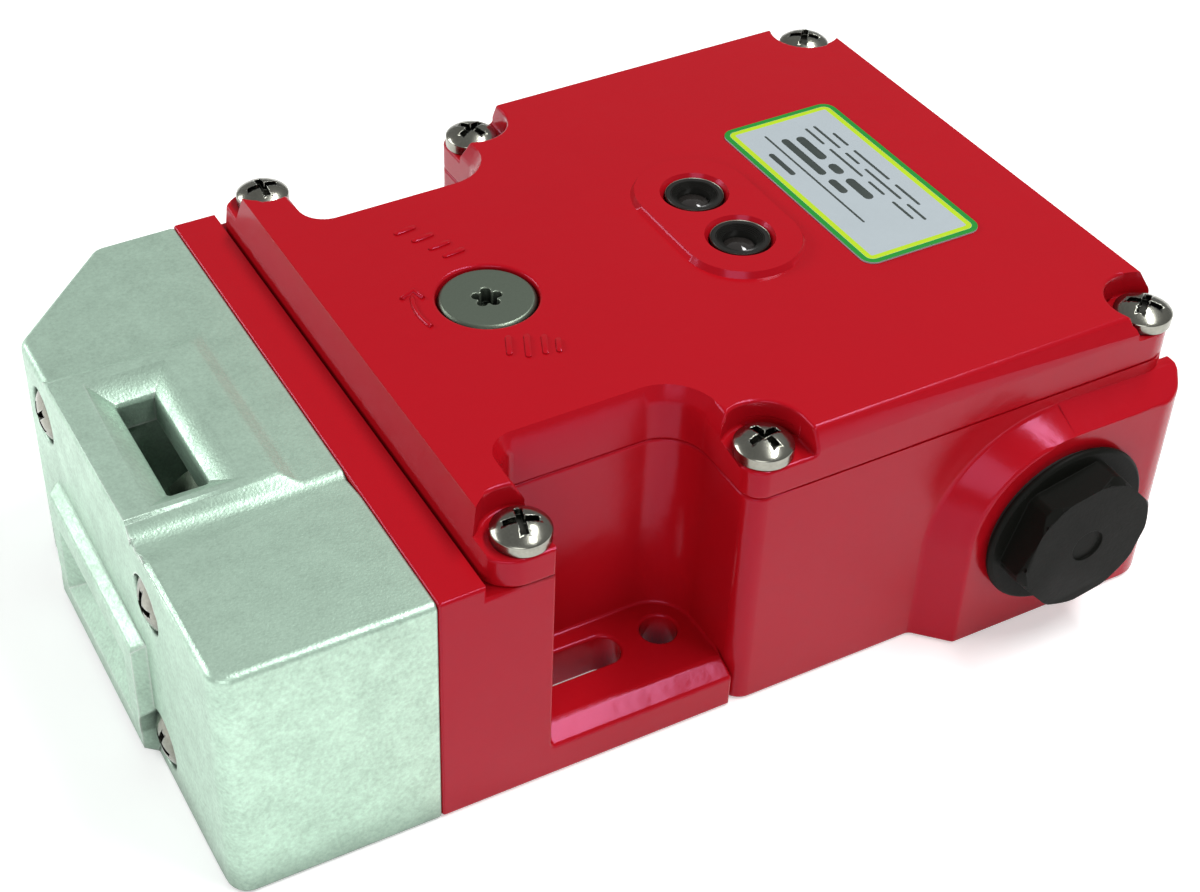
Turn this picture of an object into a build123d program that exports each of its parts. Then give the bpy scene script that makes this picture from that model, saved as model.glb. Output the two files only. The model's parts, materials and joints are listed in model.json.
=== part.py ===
from build123d import *
import os
from math import cos, degrees, pi, radians, sin, sqrt

# A guard locking switch: a die-cast head with two actuator entries and a cam, on a die-cast
# base with a screwed lid. Inside, a plunger carries the cam's turn to a contact block, and a
# solenoid bolt locks the plunger. Millimetres, +Z up, the mounting face at Z = 0.
# X runs from the head to the terminal end, and the origin is the centre of the mounting face.

# Castings
body_width = 91.0
head_length = 29.5
head_height = 39.2
base_length = 114.5
collar_step = 2.0
lid_height = 8.4
collar_length = 6.9
front_wall = 8.0
side_wall = 4.0
floor_thickness = 3.0
lid_skin = 3.0
corner_radius = 5.5
edge_radius = 1.2
near_corner_radius = 3.0
head_corner_chamfer = 17.0
lid_bevel_run = 2.7
lid_bevel_drop = 1.3
lid_front_slope = 1.9

# Side notches with the mounting feet
notch_start = 16.3
notch_end_share = 0.388646
notch_depth = 17.0
notch_outer_radius = 3.0
notch_inner_radius = 6.0
foot_thickness = 7.0
foot_bevel_run = 3.0
foot_bevel_drop = 1.6
foot_hole_radius = 2.65
foot_hole_end_gap = 5.2
foot_slot_start_gap = 2.0
foot_slot_margin = 13.6
foot_side_gap = 11.3

# Cable entries and their bosses
entry_radius = 9.25
entry_end_gap = 20.5
entry_z = 18.0
side_boss_height = 4.5
end_boss_height = 3.0
boss_face_radius = 15.0
boss_slope = 4.5
boss_top_slope = 2.2

# Blanking plugs
plug_clearance = 0.05
plug_shank_length = 7.5
plug_flange_radius = 12.9
plug_flange_thickness = 1.0
plug_flange_chamfer = 0.4
plug_hex_width = 20.0
plug_hex_height = 4.5
plug_corner_trim = 0.4
plug_hex_chamfer = 0.9
plug_dimple_radius = 2.5
plug_dimple_depth = 0.4
plug_turn = 12.0
washer_thickness = 0.8
washer_radius = 12.0

# Actuator entries in the head
entry_panel_length = 21.2
entry_panel_height = 1.0
entry_panel_far = 16.0
entry_panel_near = 15.2
panel_end_setback = 0.3
panel_joint_slope = 2.3
panel_far_slope = 1.9
panel_near_slope = 2.2
valley_depth = 0.6
valley_width = 5.6
end_pad_height = 2.0
end_pad_half_width = 17.2
end_pad_low = 0.8
end_pad_high = 21.5
end_pad_slope = 1.5
slot_offset = 10.6
end_slot_height = 10.4
slot_length = 20.4
slot_width = 5.5
funnel_length = 27.6
funnel_width = 11.8
funnel_depth = 2.6
head_wall = 3.5
cam_chamber_clearance = 0.8
chamber_below = 4.0
chamber_above = 5.0
head_pocket_depth = 12.0
head_pocket_screw_gap = 7.0
head_pocket_margin = 6.0

# Cam
cam_radius = 9.6
cam_width = 9.0
cam_slot_distance = 8.3
cam_swing = 50.0
cam_contact_radius = 9.4
cam_spiral_lead = 12.0
cam_spiral_tail = 14.0
cam_step_radius = 5.0
cam_pocket_width = 4.8
cam_pocket_depth = 4.3
cam_pocket_angles = (150.0, 240.0)
cam_axle_radius = 2.2
cam_axle_grip = 4.5
moving_gap = 0.3
running_gap = 0.05

# Plunger
plunger_travel = 4.8
plunger_radius = 3.5
nose_radius = 2.0
nose_length = 4.0
tail_grip = 3.0
plunger_collar_radius = 5.0
plunger_collar_thickness = 2.0
collar_gap = 1.0
bush_wall = 1.5
spring_radius = 4.2
spring_wire = 0.8
spring_pitch = 4.0
web_thickness = 3.0
web_top = 24.6

# Lock: solenoid, armature, bolt and plate
lock_travel = 3.2
bolt_radius = 1.6
bolt_tip_chamfer = 0.4
bolt_web_gap = 14.5
groove_gap = 0.3
plate_thickness = 1.5
plate_low = 25.4
plate_high = 28.4
plate_tab_width = 9.0
plate_foot = 2.5
solenoid_width = 17.0
solenoid_height = 19.0
solenoid_front_gap = 0.5
solenoid_back_gap = 0.6
frame_thickness = 1.5
frame_screw_inset = 5.0
armature_radius = 3.6
armature_spring_room = 5.0
armature_spring_wire = 0.6
armature_spring_pitch = 1.6
armature_spring_gap = 0.7
bobbin_wall = 0.9
bobbin_flange = 1.0
bobbin_rim = 0.2
coil_radius = 7.6

# Emergency release
release_x = 30.0
release_disc_radius = 7.0
release_disc_thickness = 1.8
release_disc_gap = 0.3
release_disc_drop = 0.2
release_disc_chamfer = 0.5
release_spindle_radius = 3.0
release_flat_depth = 0.6
release_cam_small = 4.8
release_cam_thickness = 3.0
release_boss_radius = 6.5
release_boss_drop = 4.5
star_lobes = 5
star_core_radius = 1.4
star_lobe_radius = 0.72
star_lobe_offset = 1.5
star_depth = 2.4
clip_thickness = 0.7
clip_groove_depth = 0.6
clip_reach = 1.2
clip_mouth = 2.4
seal_wire = 0.9
seal_drop = 1.5

# Contact block
block_gap = 2.0
block_length = 28.0
block_width = 38.0
block_wall = 2.0
block_flange = 5.0
block_foot_width = 8.0
block_foot_height = 4.0
block_headroom = 6.7
channel_width = 23.0
carrier_width = 9.0
carrier_height = 15.0
carrier_gap = 1.0
carrier_start_margin = 4.2
carrier_end_margin = 4.6
bridge_count = 2
bridge_pitch = 9.2
bridge_side_gap = 1.5
contact_thickness = 1.0
contact_height = 4.0
contact_inset = 0.8
contact_arm_gap = 1.5
terminal_inset = 4.2
terminal_plate_width = 6.0
terminal_thickness = 0.8

# Screws
cover_screw_radius = 2.0
cover_screw_head_radius = 4.0
cover_screw_head_height = 2.9
cover_screw_dome = 1.3
cover_screw_length = 14.0
cover_screw_inset = 4.0
front_screw_inset = 3.0
end_screw_inset = 4.3
cross_length = 4.6
cross_width = 1.0
cross_depth = 1.3
screw_tip_length = 0.8
screw_tip_taper = 0.4
scoop_radius = 5.6
scoop_floor = 4.5
scoop_reach = 14.0
head_screw_y = 21.0
head_screw_low = 5.6
head_screw_drop = 8.2
head_screw_reach = 7.0
head_screw_end_gap = 0.5
counterbore_depth = 2.3
screw_hole_gap = 0.2
boss_wall = 2.8
small_screw_radius = 1.5
small_head_radius = 2.8
small_head_rim = 1.2
small_head_height = 2.0
small_slot_width = 0.7
small_slot_depth = 0.8
frame_screw_head_radius = 2.7
frame_screw_length = 5.0
terminal_screw_length = 6.0
block_screw_reach = 2.4
earth_screw_length = 5.0
earth_boss_radius = 4.5
earth_boss_height = 4.5
earth_block_gap = 8.5
earth_block_step = 12.0
earth_washer_width = 7.0
earth_washer_thickness = 1.0

# Signal lamps and label
lamp_label_pitch = 22.3
lamp_y = 1.5
lamp_pitch = 12.4
lamp_radius = 4.2
lamp_recess_radius = 5.1
lamp_recess_depth = 1.4
lamp_boss_wall = 0.9
lamp_boss_drop = 1.5
lamp_pad_length = 32.0
lamp_pad_width = 19.0
lamp_pad_height = 0.9
lamp_pad_slope = 1.4
holder_drop = 0.35
holder_rim = 0.5
holder_dish_depth = 1.2
lens_radius = 2.5
lens_drop = 1.4
lens_edge_radius = 1.5
board_drop = 2.4
board_thickness = 1.2
board_width = 11.0
board_end_margin = 4.6
board_post_gap = 2.6
board_post_radius = 1.6
label_end_gap = 24.1
label_y = 1.0
label_length = 39.0
label_width = 19.8
label_corner_radius = 2.0
label_thickness = 0.3

# Seals
gasket_width = 1.4
gasket_thickness = 1.0
gasket_inset = 0.8
head_gasket_width = 1.5
head_gasket_thickness = 0.6
head_gasket_gap = 0.1

# Extra reach of a cutting or joining body past a face
clear = 1.0

# Positions worked out from the sizes above
half_width = body_width / 2
overall_length = end_pad_height + head_length + base_length + end_boss_height
face_x = end_pad_height - overall_length / 2
joint_x = face_x + head_length
end_x = joint_x + base_length
lid_x = joint_x + collar_length
seam_height = head_height - collar_step
lid_top = seam_height + lid_height
cavity_x = joint_x + front_wall
notch_y = half_width - notch_depth
notch_start_x = joint_x + notch_start
notch_end_x = joint_x + base_length * notch_end_share
notch_length = notch_end_x - notch_start_x
foot_slot_length = notch_length - foot_slot_margin
foot_y = half_width - foot_side_gap
entry_center_x = end_x - entry_end_gap
cover_screw_y = half_width - cover_screw_inset
cover_screw_x = (notch_start_x - front_screw_inset, notch_end_x + cover_screw_inset, end_x - end_screw_inset)
screw_post_radius = cover_screw_radius + boss_wall
scoop_z = seam_height + scoop_floor
panel_top = head_height + entry_panel_height
slot_x = face_x + slot_offset
cam_x = slot_x + cam_slot_distance
cam_z = end_slot_height + cam_slot_distance
plunger_z = cam_z
nose_x = cam_x + cam_contact_radius + nose_radius
chamber_half_width = slot_length / 2 + cam_chamber_clearance
chamber_low = cam_z - cam_radius - chamber_below
chamber_high = cam_z + cam_radius + chamber_above
axle_half_length = chamber_half_width + cam_axle_grip
bolt_tip_y = plunger_radius + moving_gap
plate_y = release_cam_small + lock_travel + moving_gap
collar_x = cavity_x + plunger_travel + collar_gap
bolt_x = notch_end_x + side_wall + solenoid_front_gap + solenoid_width / 2
web_x = bolt_x - bolt_web_gap - web_thickness
solenoid_y = plate_y + plate_thickness + moving_gap
solenoid_length = cover_screw_y - screw_post_radius - solenoid_back_gap - solenoid_y
solenoid_low = plunger_z - solenoid_height / 2
frame_screw_y = (solenoid_y + frame_screw_inset, solenoid_y + solenoid_length - frame_screw_inset)
spindle_x = joint_x + release_x
release_boss_low = lid_top - lid_skin - release_boss_drop
seal_high = lid_top - lid_skin - seal_drop
block_x = bolt_x + solenoid_width / 2 + block_gap
block_middle_x = block_x + block_length / 2
block_top = seam_height - block_headroom
terminal_y = block_width / 2 - terminal_inset
channel_floor = plunger_z - carrier_height / 2 - moving_gap
carrier_x = block_x + block_wall + plunger_travel + carrier_gap
bridge_length = channel_width - 2 * bridge_side_gap
bridge_x = [carrier_x + carrier_start_margin + n * bridge_pitch for n in range(bridge_count)]
contact_back_step = plunger_travel + moving_gap + contact_thickness
label_x = end_x - label_end_gap
lamp_x = label_x - lamp_label_pitch
lamp_top = lid_top + lamp_pad_height
lamp_places = [(lamp_x, lamp_y - lamp_pitch / 2), (lamp_x, lamp_y + lamp_pitch / 2)]
board_top = lid_top - lid_skin - board_drop
earth_x = block_middle_x + earth_block_step
earth_y = block_width / 2 + earth_block_gap
earth_top = floor_thickness + earth_boss_height


def prism(points, plane, depth):
    """Straight prism on a closed outline in a plane, grown along the plane's normal."""
    return extrude(plane * make_face(Polyline(*points, close=True)), depth)


def block(low, high):
    """Box between two opposite corners."""
    size = [b - a for a, b in zip(low, high)]
    middle = [(a + b) / 2 for a, b in zip(low, high)]
    return Pos(*middle) * Box(*size)


def rod(radius, start, end):
    """Round bar from one point to another."""
    along = Vector(*end) - Vector(*start)
    plane = Plane(origin=start, z_dir=along)
    return extrude(plane * Circle(radius), along.length)


def ring(outer, inner, start, end):
    """Tube from one point to another."""
    along = Vector(*end) - Vector(*start)
    plane = Plane(origin=start, z_dir=along)
    return extrude(plane * (Circle(outer) - Circle(inner)), along.length)


def near(sketch, x, y):
    """The corner of a plan outline that lies closest to a point."""
    return sketch.vertices().sort_by_distance((x, y, 0))[0]


def mirrored(shape):
    """A shape and its mirror image across the centre plane."""
    return [shape, mirror(shape, Plane.XZ)]


def top_face(shape):
    """The highest face of a shape."""
    return shape.faces().sort_by(Axis.Z)[-1]


def base_plan(left):
    """Plan outline of base and lid from a left edge to the terminal end, with both notches."""
    plan = Pos((left + end_x) / 2, 0) * Rectangle(end_x - left, body_width)
    notch = Rectangle(notch_length, 2 * notch_depth)
    for side in (1, -1):
        plan -= Pos((notch_start_x + notch_end_x) / 2, side * half_width) * notch
    for side in (1, -1):
        plan = fillet(near(plan, notch_end_x, side * half_width), notch_outer_radius)
        plan = fillet(near(plan, notch_end_x, side * notch_y), notch_inner_radius)
        plan = fillet(near(plan, notch_start_x, side * notch_y), notch_outer_radius)
        plan = fillet(near(plan, end_x, side * half_width), corner_radius)
    return plan


def cavity_plan(margin):
    """Plan of the hollow inside the base, grown outward by a margin."""
    neck_half = notch_y - side_wall + margin
    main_half = half_width - side_wall + margin
    left = cavity_x - margin
    right = end_x - side_wall + margin
    neck = Pos((left + right) / 2, 0) * Rectangle(right - left, 2 * neck_half)
    main_left = notch_end_x + side_wall - margin
    main = Pos((main_left + right) / 2, 0) * Rectangle(right - main_left, 2 * main_half)
    plan = neck + main
    post = screw_post_radius - margin
    outward = 2 * post
    for x, lean in zip(cover_screw_x[1:], (-1, 1)):
        for side in (1, -1):
            corner = Pos(lean * post, side * post) * Rectangle(outward, outward)
            plan -= Pos(x, side * cover_screw_y) * (Circle(post) + corner)
    return plan


def boss_section(radius, top_radius, right):
    """Half-arched outline of a cable boss: an arc round the entry, open to the terminal end."""
    top = entry_z + top_radius
    left = entry_center_x - radius
    outline = Polyline((entry_center_x, top), (right, top), (right, 0), (left, 0), (left, entry_z))
    diagonal = (entry_center_x - radius * sin(pi / 4), entry_z + top_radius * sin(pi / 4))
    arc = ThreePointArc((left, entry_z), diagonal, (entry_center_x, top))
    return make_face(outline + arc)


def side_boss():
    """Raised boss round the cable entry on the side with negative Y, sloped down to the wall."""
    sunk = side_wall / 2
    plane = Plane(origin=(0, sunk - half_width, 0), x_dir=(1, 0, 0), z_dir=(0, -1, 0))
    foot = boss_section(boss_face_radius + boss_slope, boss_face_radius + boss_top_slope, end_x)
    face = boss_section(boss_face_radius, boss_face_radius, end_x)
    boss = extrude(plane * foot, sunk)
    boss += loft([plane * Pos(0, 0, sunk) * foot, plane * Pos(0, 0, sunk + side_boss_height) * face])
    outer_y = -half_width - side_boss_height
    half = corner_radius / 2
    corner = Pos(end_x - half, outer_y + half) * Rectangle(corner_radius, corner_radius)
    corner -= Pos(end_x - corner_radius, outer_y + corner_radius) * Circle(corner_radius)
    return boss - extrude(corner, head_height)


def end_boss():
    """Raised boss round the cable entry on the terminal end."""
    sunk = side_wall / 2
    plane = Plane(origin=(end_x - sunk, 0, 0), x_dir=(0, 1, 0), z_dir=(1, 0, 0))
    sections = []
    for radius, top in ((boss_face_radius + boss_slope, boss_face_radius + boss_top_slope),
                        (boss_face_radius, boss_face_radius)):
        outline = Polyline((radius, entry_z), (radius, 0), (-radius, 0), (-radius, entry_z))
        arc = ThreePointArc((-radius, entry_z), (0, entry_z + top), (radius, entry_z))
        sections.append(make_face(outline + arc))
    foot, face = sections
    boss = extrude(plane * foot, sunk)
    return boss + loft([plane * Pos(0, 0, sunk) * foot, plane * Pos(0, 0, sunk + end_boss_height) * face])


def foot():
    """Mounting foot in the notch with negative Y, with a bevelled outer edge, and its two holes."""
    profile = [(-half_width, 0), (-half_width, foot_thickness - foot_bevel_drop),
               (-half_width + foot_bevel_run, foot_thickness), (-notch_y, foot_thickness), (-notch_y, 0)]
    plane = Plane(origin=(notch_start_x, 0, 0), x_dir=(0, 1, 0), z_dir=(1, 0, 0))
    plate = prism(profile, plane, notch_length)
    hole = Pos(notch_end_x - foot_hole_end_gap, -foot_y) * Circle(foot_hole_radius)
    slot = SlotOverall(foot_slot_length, 2 * foot_hole_radius)
    slot = Pos(notch_start_x + foot_slot_start_gap + foot_slot_length / 2, -foot_y) * slot
    return plate, extrude(hole, foot_thickness) + extrude(slot, foot_thickness)


def cover_screw_points():
    """Plan positions of the lid screws."""
    return [(x, side * cover_screw_y) for side in (1, -1) for x in cover_screw_x]


def head_screw_points():
    """Positions of the head screws on the joint face, as Y and Z."""
    heights = (head_screw_low, head_height - head_screw_drop)
    return [(side * head_screw_y, z) for side in (1, -1) for z in heights]


def base_housing():
    """Die-cast base: hollow box with collar, posts, feet, cable bosses, web and solenoid pad."""
    body = extrude(base_plan(joint_x), seam_height)
    body += block((joint_x, -half_width, 0), (lid_x - moving_gap, half_width, head_height))
    plate, holes = foot()
    for half in mirrored(plate) + mirrored(side_boss()) + [end_boss()]:
        body += half
    body -= Pos(0, 0, floor_thickness) * extrude(cavity_plan(0), lid_top)
    root = floor_thickness / 2
    neck_half = notch_y - side_wall + clear
    body += block((web_x, -neck_half, root), (web_x + web_thickness, neck_half, web_top))
    pad_half = solenoid_width / 2
    pad_high = (bolt_x + pad_half, solenoid_y + solenoid_length, solenoid_low)
    body += block((bolt_x - pad_half, solenoid_y, root), pad_high)
    body += rod(earth_boss_radius, (earth_x, -earth_y, root), (earth_x, -earth_y, earth_top))
    groove = cavity_plan(gasket_inset + gasket_width) - cavity_plan(gasket_inset)
    body -= Pos(0, 0, seam_height - gasket_thickness) * extrude(groove, gasket_thickness + clear)
    for half in mirrored(holes):
        body -= half
    return body - base_bores()


def base_bores():
    """Round holes of the base: plunger, screws and cable entries."""
    bores = [rod(plunger_radius + bush_wall, (joint_x - clear, 0, plunger_z),
                 (cavity_x + clear, 0, plunger_z)),
             rod(plunger_radius + running_gap, (web_x - clear, 0, plunger_z),
                 (web_x + web_thickness + clear, 0, plunger_z))]
    for y, z in head_screw_points():
        bores.append(rod(cover_screw_radius, (joint_x - clear, y, z), (joint_x + head_screw_reach, y, z)))
    for x, y in cover_screw_points():
        bores.append(rod(cover_screw_radius, (x, y, scoop_z - cover_screw_length),
                         (x, y, seam_height + clear)))
    for side in (1, -1):
        inner = side * (half_width - side_wall - clear)
        outer = side * (half_width + side_boss_height + clear)
        bores.append(rod(entry_radius, (entry_center_x, inner, entry_z), (entry_center_x, outer, entry_z)))
    bores.append(rod(entry_radius, (end_x - side_wall - clear, 0, entry_z),
                     (end_x + end_boss_height + clear, 0, entry_z)))
    bores.append(rod(small_screw_radius, (earth_x, -earth_y, floor_thickness),
                     (earth_x, -earth_y, earth_top + clear)))
    for y in frame_screw_y:
        low = solenoid_low + frame_thickness - frame_screw_length
        bores.append(rod(small_screw_radius, (bolt_x, y, low), (bolt_x, y, solenoid_low + clear)))
    for x, y in block_screw_points():
        bores.append(rod(small_screw_radius, (x, y, floor_thickness - block_screw_reach),
                         (x, y, floor_thickness + clear)))
    return bores


def lid():
    """Die-cast lid with bevelled rim, screw lobes, lamp pad and the release bearing."""
    plan = base_plan(lid_x)
    for side in (1, -1):
        plan = fillet(near(plan, lid_x, side * half_width), corner_radius)
    body = Pos(0, 0, seam_height) * extrude(plan, lid_height)
    top = top_face(body)
    rim = [edge for edge in top.edges() if edge.center().X > lid_x + corner_radius]
    body = chamfer(rim, lid_bevel_drop, lid_bevel_run, reference=top)
    slope = [(lid_x, seam_height), (lid_x, lid_top + clear), (lid_x + lid_front_slope, lid_top + clear),
             (lid_x + lid_front_slope, lid_top)]
    side_plane = Plane(origin=(0, body_width, 0), x_dir=(1, 0, 0), z_dir=(0, -1, 0))
    body -= prism(slope, side_plane, 2 * body_width)
    for x, y in cover_screw_points():
        body -= scoop(x, y)
    body += lamp_pad()
    body -= Pos(0, 0, seam_height) * extrude(cavity_plan(-gasket_inset), lid_height - lid_skin)
    under_top = lid_top - clear
    body += rod(release_boss_radius, (spindle_x, 0, release_boss_low), (spindle_x, 0, under_top))
    for x, y in lamp_places:
        boss_low = lid_top - lid_skin - lamp_boss_drop
        body += rod(lamp_recess_radius + lamp_boss_wall, (x, y, boss_low), (x, y, under_top))
        body -= rod(lamp_radius + running_gap, (x, y, seam_height), (x, y, lamp_top + clear))
        recess = Cone(lamp_radius, lamp_recess_radius, lamp_recess_depth)
        body -= Pos(x, y, lamp_top - lamp_recess_depth / 2) * recess
    for x, y in board_posts():
        body += rod(board_post_radius, (x, y, board_top), (x, y, under_top))
    disc_low = lid_top - release_disc_thickness
    body -= rod(release_disc_radius + release_disc_gap, (spindle_x, 0, disc_low),
                (spindle_x, 0, lid_top + clear))
    body -= rod(release_spindle_radius + running_gap, (spindle_x, 0, release_boss_low - clear),
                (spindle_x, 0, lid_top))
    for x, y in cover_screw_points():
        body -= rod(cover_screw_radius + screw_hole_gap, (x, y, seam_height - clear), (x, y, lid_top + clear))
    return body


def scoop(x, y):
    """Open recess round a lid screw, running out over the nearest rim or corner."""
    side = 1 if y > 0 else -1
    lean = dict(zip(cover_screw_x, (-1, 0, 1)))[x]
    angle = side * degrees(pi / 2 - lean * pi / 4)
    plan = Circle(scoop_radius) + Pos(scoop_reach / 2, 0) * Rectangle(scoop_reach, 2 * scoop_radius)
    return Pos(x, y, scoop_z) * Rot(0, 0, angle) * extrude(plan, lid_top)


def lamp_pad():
    """Raised pad with sloped sides that carries both lamps."""
    outline = RectangleRounded(lamp_pad_width, lamp_pad_length, lamp_pad_width / 2 - running_gap)
    pad = Pos(lamp_x, lamp_y, lid_top - clear) * extrude(outline, clear + lamp_pad_height)
    top = top_face(pad)
    return chamfer(top.edges(), lamp_pad_height - running_gap, lamp_pad_slope, reference=top)


def board_posts():
    """Plan positions of the two posts that hold the lamp board."""
    reach = lamp_pitch / 2 + lamp_radius + board_post_gap
    return [(lamp_x, lamp_y + side * reach) for side in (1, -1)]


def funnel(plane, wall):
    """Bevelled mouth and slot of an actuator entry, cut through a wall below a plane."""
    outer = Rectangle(funnel_length, funnel_width)
    inner = Rectangle(slot_length, slot_width)
    throat = plane * Pos(0, 0, -funnel_depth) * inner
    return loft([plane * outer, throat]) + extrude(throat, funnel_depth - wall - clear)


def head_housing():
    """Die-cast head with both actuator entries, the cam chamber and the screw bores."""
    outline = [(face_x, -half_width), (joint_x, -half_width), (joint_x, half_width),
               (face_x + head_corner_chamfer, half_width), (face_x, half_width - head_corner_chamfer)]
    plan = make_face(Polyline(*outline, close=True))
    plan = fillet(near(plan, face_x, -half_width), near_corner_radius)
    plan = fillet(near(plan, face_x + head_corner_chamfer, half_width), near_corner_radius)
    plan = fillet(near(plan, face_x, half_width - head_corner_chamfer), near_corner_radius)
    body = extrude(plan, head_height)
    rim = top_face(body).edges().filter_by(lambda edge: edge.center().X < joint_x - running_gap)
    body = fillet(rim, edge_radius)
    body -= panel_valley()
    for piece in (entry_panel(), end_pad()):
        body += piece
    body -= block((face_x + head_wall, -chamber_half_width, chamber_low),
                  (joint_x + clear, chamber_half_width, chamber_high))
    top_mouth = Plane(origin=(slot_x, 0, panel_top), x_dir=(0, 1, 0), z_dir=(0, 0, 1))
    body -= funnel(top_mouth, panel_top - chamber_high)
    end_mouth = Plane(origin=(face_x - end_pad_height, 0, end_slot_height), x_dir=(0, 1, 0), z_dir=(-1, 0, 0))
    body -= funnel(end_mouth, end_pad_height + head_wall)
    body -= axle_saddle(joint_x + clear)
    body -= rod(cam_axle_radius, (cam_x, -axle_half_length, cam_z), (cam_x, axle_half_length, cam_z))
    outside = face_x - end_pad_height - clear
    for y, z in head_screw_points():
        body -= rod(cover_screw_radius + screw_hole_gap, (outside, y, z), (joint_x + clear, y, z))
        seat_radius = cover_screw_head_radius + screw_hole_gap
        body -= rod(seat_radius, (outside, y, z), (face_x + counterbore_depth, y, z))
    pocket = block((joint_x - head_pocket_depth, head_screw_y + head_pocket_screw_gap, head_pocket_margin),
                   (joint_x + clear, half_width - side_wall, head_height - head_pocket_margin))
    for half in mirrored(pocket):
        body -= half
    return body - gasket_frame(head_gasket_width + head_gasket_gap, joint_x + clear)


def panel_valley():
    """Shallow valley along the top of the head, beside the panel's foot."""
    start = -entry_panel_near - panel_near_slope
    crease = start - valley_depth * panel_near_slope / entry_panel_height
    end = start - valley_width
    section = [(start, head_height), (crease, head_height - valley_depth), (end, head_height),
               (end, head_height + clear), (start, head_height + clear)]
    plane = Plane(origin=(face_x - clear, 0, 0), x_dir=(0, 1, 0), z_dir=(1, 0, 0))
    return prism(section, plane, head_length + 2 * clear)


def entry_panel():
    """Raised panel round the top entry, with sloped sides."""
    foot_near = -entry_panel_near - panel_near_slope
    foot_far = entry_panel_far + panel_far_slope
    foot_end = face_x + entry_panel_length + panel_joint_slope
    foot_face = Pos((face_x + foot_end) / 2, (foot_near + foot_far) / 2) * Rectangle(
        foot_end - face_x, foot_far - foot_near)
    left, right = face_x + panel_end_setback, face_x + entry_panel_length
    top_outline = Pos((left + right) / 2, (entry_panel_far - entry_panel_near) / 2) * Rectangle(
        right - left, entry_panel_far + entry_panel_near)
    panel = loft([Pos(0, 0, head_height) * foot_face, Pos(0, 0, panel_top) * top_outline])
    root = block((face_x, foot_near, head_height - 2 * edge_radius),
                 (face_x + 2 * edge_radius, foot_far, head_height))
    return panel + root


def end_pad():
    """Raised pad with sloped edges round the actuator entry on the end of the head."""
    plane = Plane(origin=(face_x + clear, 0, 0), x_dir=(0, -1, 0), z_dir=(-1, 0, 0))
    middle = (end_pad_low + end_pad_high) / 2
    height = end_pad_high - end_pad_low
    foot_face = Pos(0, middle) * Rectangle(2 * (end_pad_half_width + end_pad_slope), height + end_pad_slope)
    front = Pos(0, middle - end_pad_slope / 2) * Rectangle(2 * end_pad_half_width, height - end_pad_slope)
    return loft([plane * foot_face, plane * Pos(0, 0, clear + end_pad_height) * front])


def axle_saddle(right):
    """Straight slot for the cam axle, open to the joint face."""
    low = (cam_x, -axle_half_length, cam_z - cam_axle_radius)
    return block(low, (right, axle_half_length, cam_z + cam_axle_radius))


def gasket_frame(margin, right):
    """Plate round the cam chamber in the joint face, wider than chamber and axle by a margin."""
    low = (joint_x - head_gasket_thickness, -axle_half_length - margin, chamber_low - margin)
    return block(low, (right, axle_half_length + margin, chamber_high + margin))


def head_gasket():
    """Flat seal round the cam chamber, in a shallow recess of the head's joint face."""
    inside = block((joint_x - 2 * clear, -chamber_half_width, chamber_low),
                   (joint_x + clear, chamber_half_width, chamber_high))
    return gasket_frame(head_gasket_width, joint_x) - inside - axle_saddle(joint_x + clear)


def pan_screw(length):
    """Pan-head screw with a cross recess, head above the XY plane and shank below."""
    radius, height = cover_screw_head_radius, cover_screw_head_height
    side_top = height - cover_screw_dome
    shank = cover_screw_radius
    profile = Polyline((0, -length), (shank - screw_tip_taper, -length), (shank, screw_tip_length - length),
                       (shank, 0), (radius, 0), (radius, side_top))
    crown = ThreePointArc((radius, side_top), (radius / 2, height - cover_screw_dome / 6), (0, height))
    body = revolve(Plane.XZ * make_face(profile + crown + Line((0, height), (0, -length))), Axis.Z)
    arm = Pos(0, 0, height) * Box(cross_length, cross_width, 2 * cross_depth)
    return body - arm - Rot(0, 0, 90) * arm


def lid_screws():
    """The six lid screws."""
    return [Pos(x, y, scoop_z) * Rot(0, 0, 25 * n) * pan_screw(cover_screw_length)
            for n, (x, y) in enumerate(cover_screw_points())]


def head_screws():
    """The four long screws that hold the head to the base."""
    length = head_length - counterbore_depth + head_screw_reach - head_screw_end_gap
    screws = []
    for n, (y, z) in enumerate(head_screw_points()):
        place = Pos(face_x + counterbore_depth, y, z) * Rot(0, -90, 0) * Rot(0, 0, 20 + 25 * n)
        screws.append(place * pan_screw(length))
    return screws


def cam_profile():
    """Cam outline about its own centre: a disc, a linear spiral for the plunger, two pockets."""
    rate = plunger_travel / radians(cam_swing)
    rest = cam_contact_radius + nose_radius
    reach = nose_radius + moving_gap
    samples = []
    steps = 12
    start, end = radians(-cam_swing - cam_spiral_lead), radians(cam_spiral_tail)
    for step in range(steps + 1):
        turn = start + (end - start) * step / steps
        pitch = rest + rate * turn
        out_x = pitch * cos(turn) + rate * sin(turn)
        out_z = pitch * sin(turn) - rate * cos(turn)
        size = sqrt(out_x ** 2 + out_z ** 2)
        samples.append((pitch * cos(turn) - reach * out_x / size, pitch * sin(turn) - reach * out_z / size))
    far = 2 * cam_radius
    lead = radians(-cam_swing - 2 * cam_spiral_lead)
    outer = Polyline(samples[-1], (far, far * sin(end)), (far, -far), (far * cos(lead), far * sin(lead)),
                     (cam_step_radius * cos(lead), cam_step_radius * sin(lead)), samples[0])
    disc = Circle(cam_radius) - make_face(Spline(*samples) + outer)
    pocket = Pos(cam_radius - cam_pocket_depth / 2 + clear, 0) * Rectangle(
        cam_pocket_depth + 2 * clear, cam_pocket_width)
    for angle in cam_pocket_angles:
        disc -= Rot(0, 0, angle) * pocket
    return disc - Circle(cam_axle_radius + running_gap)


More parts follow.
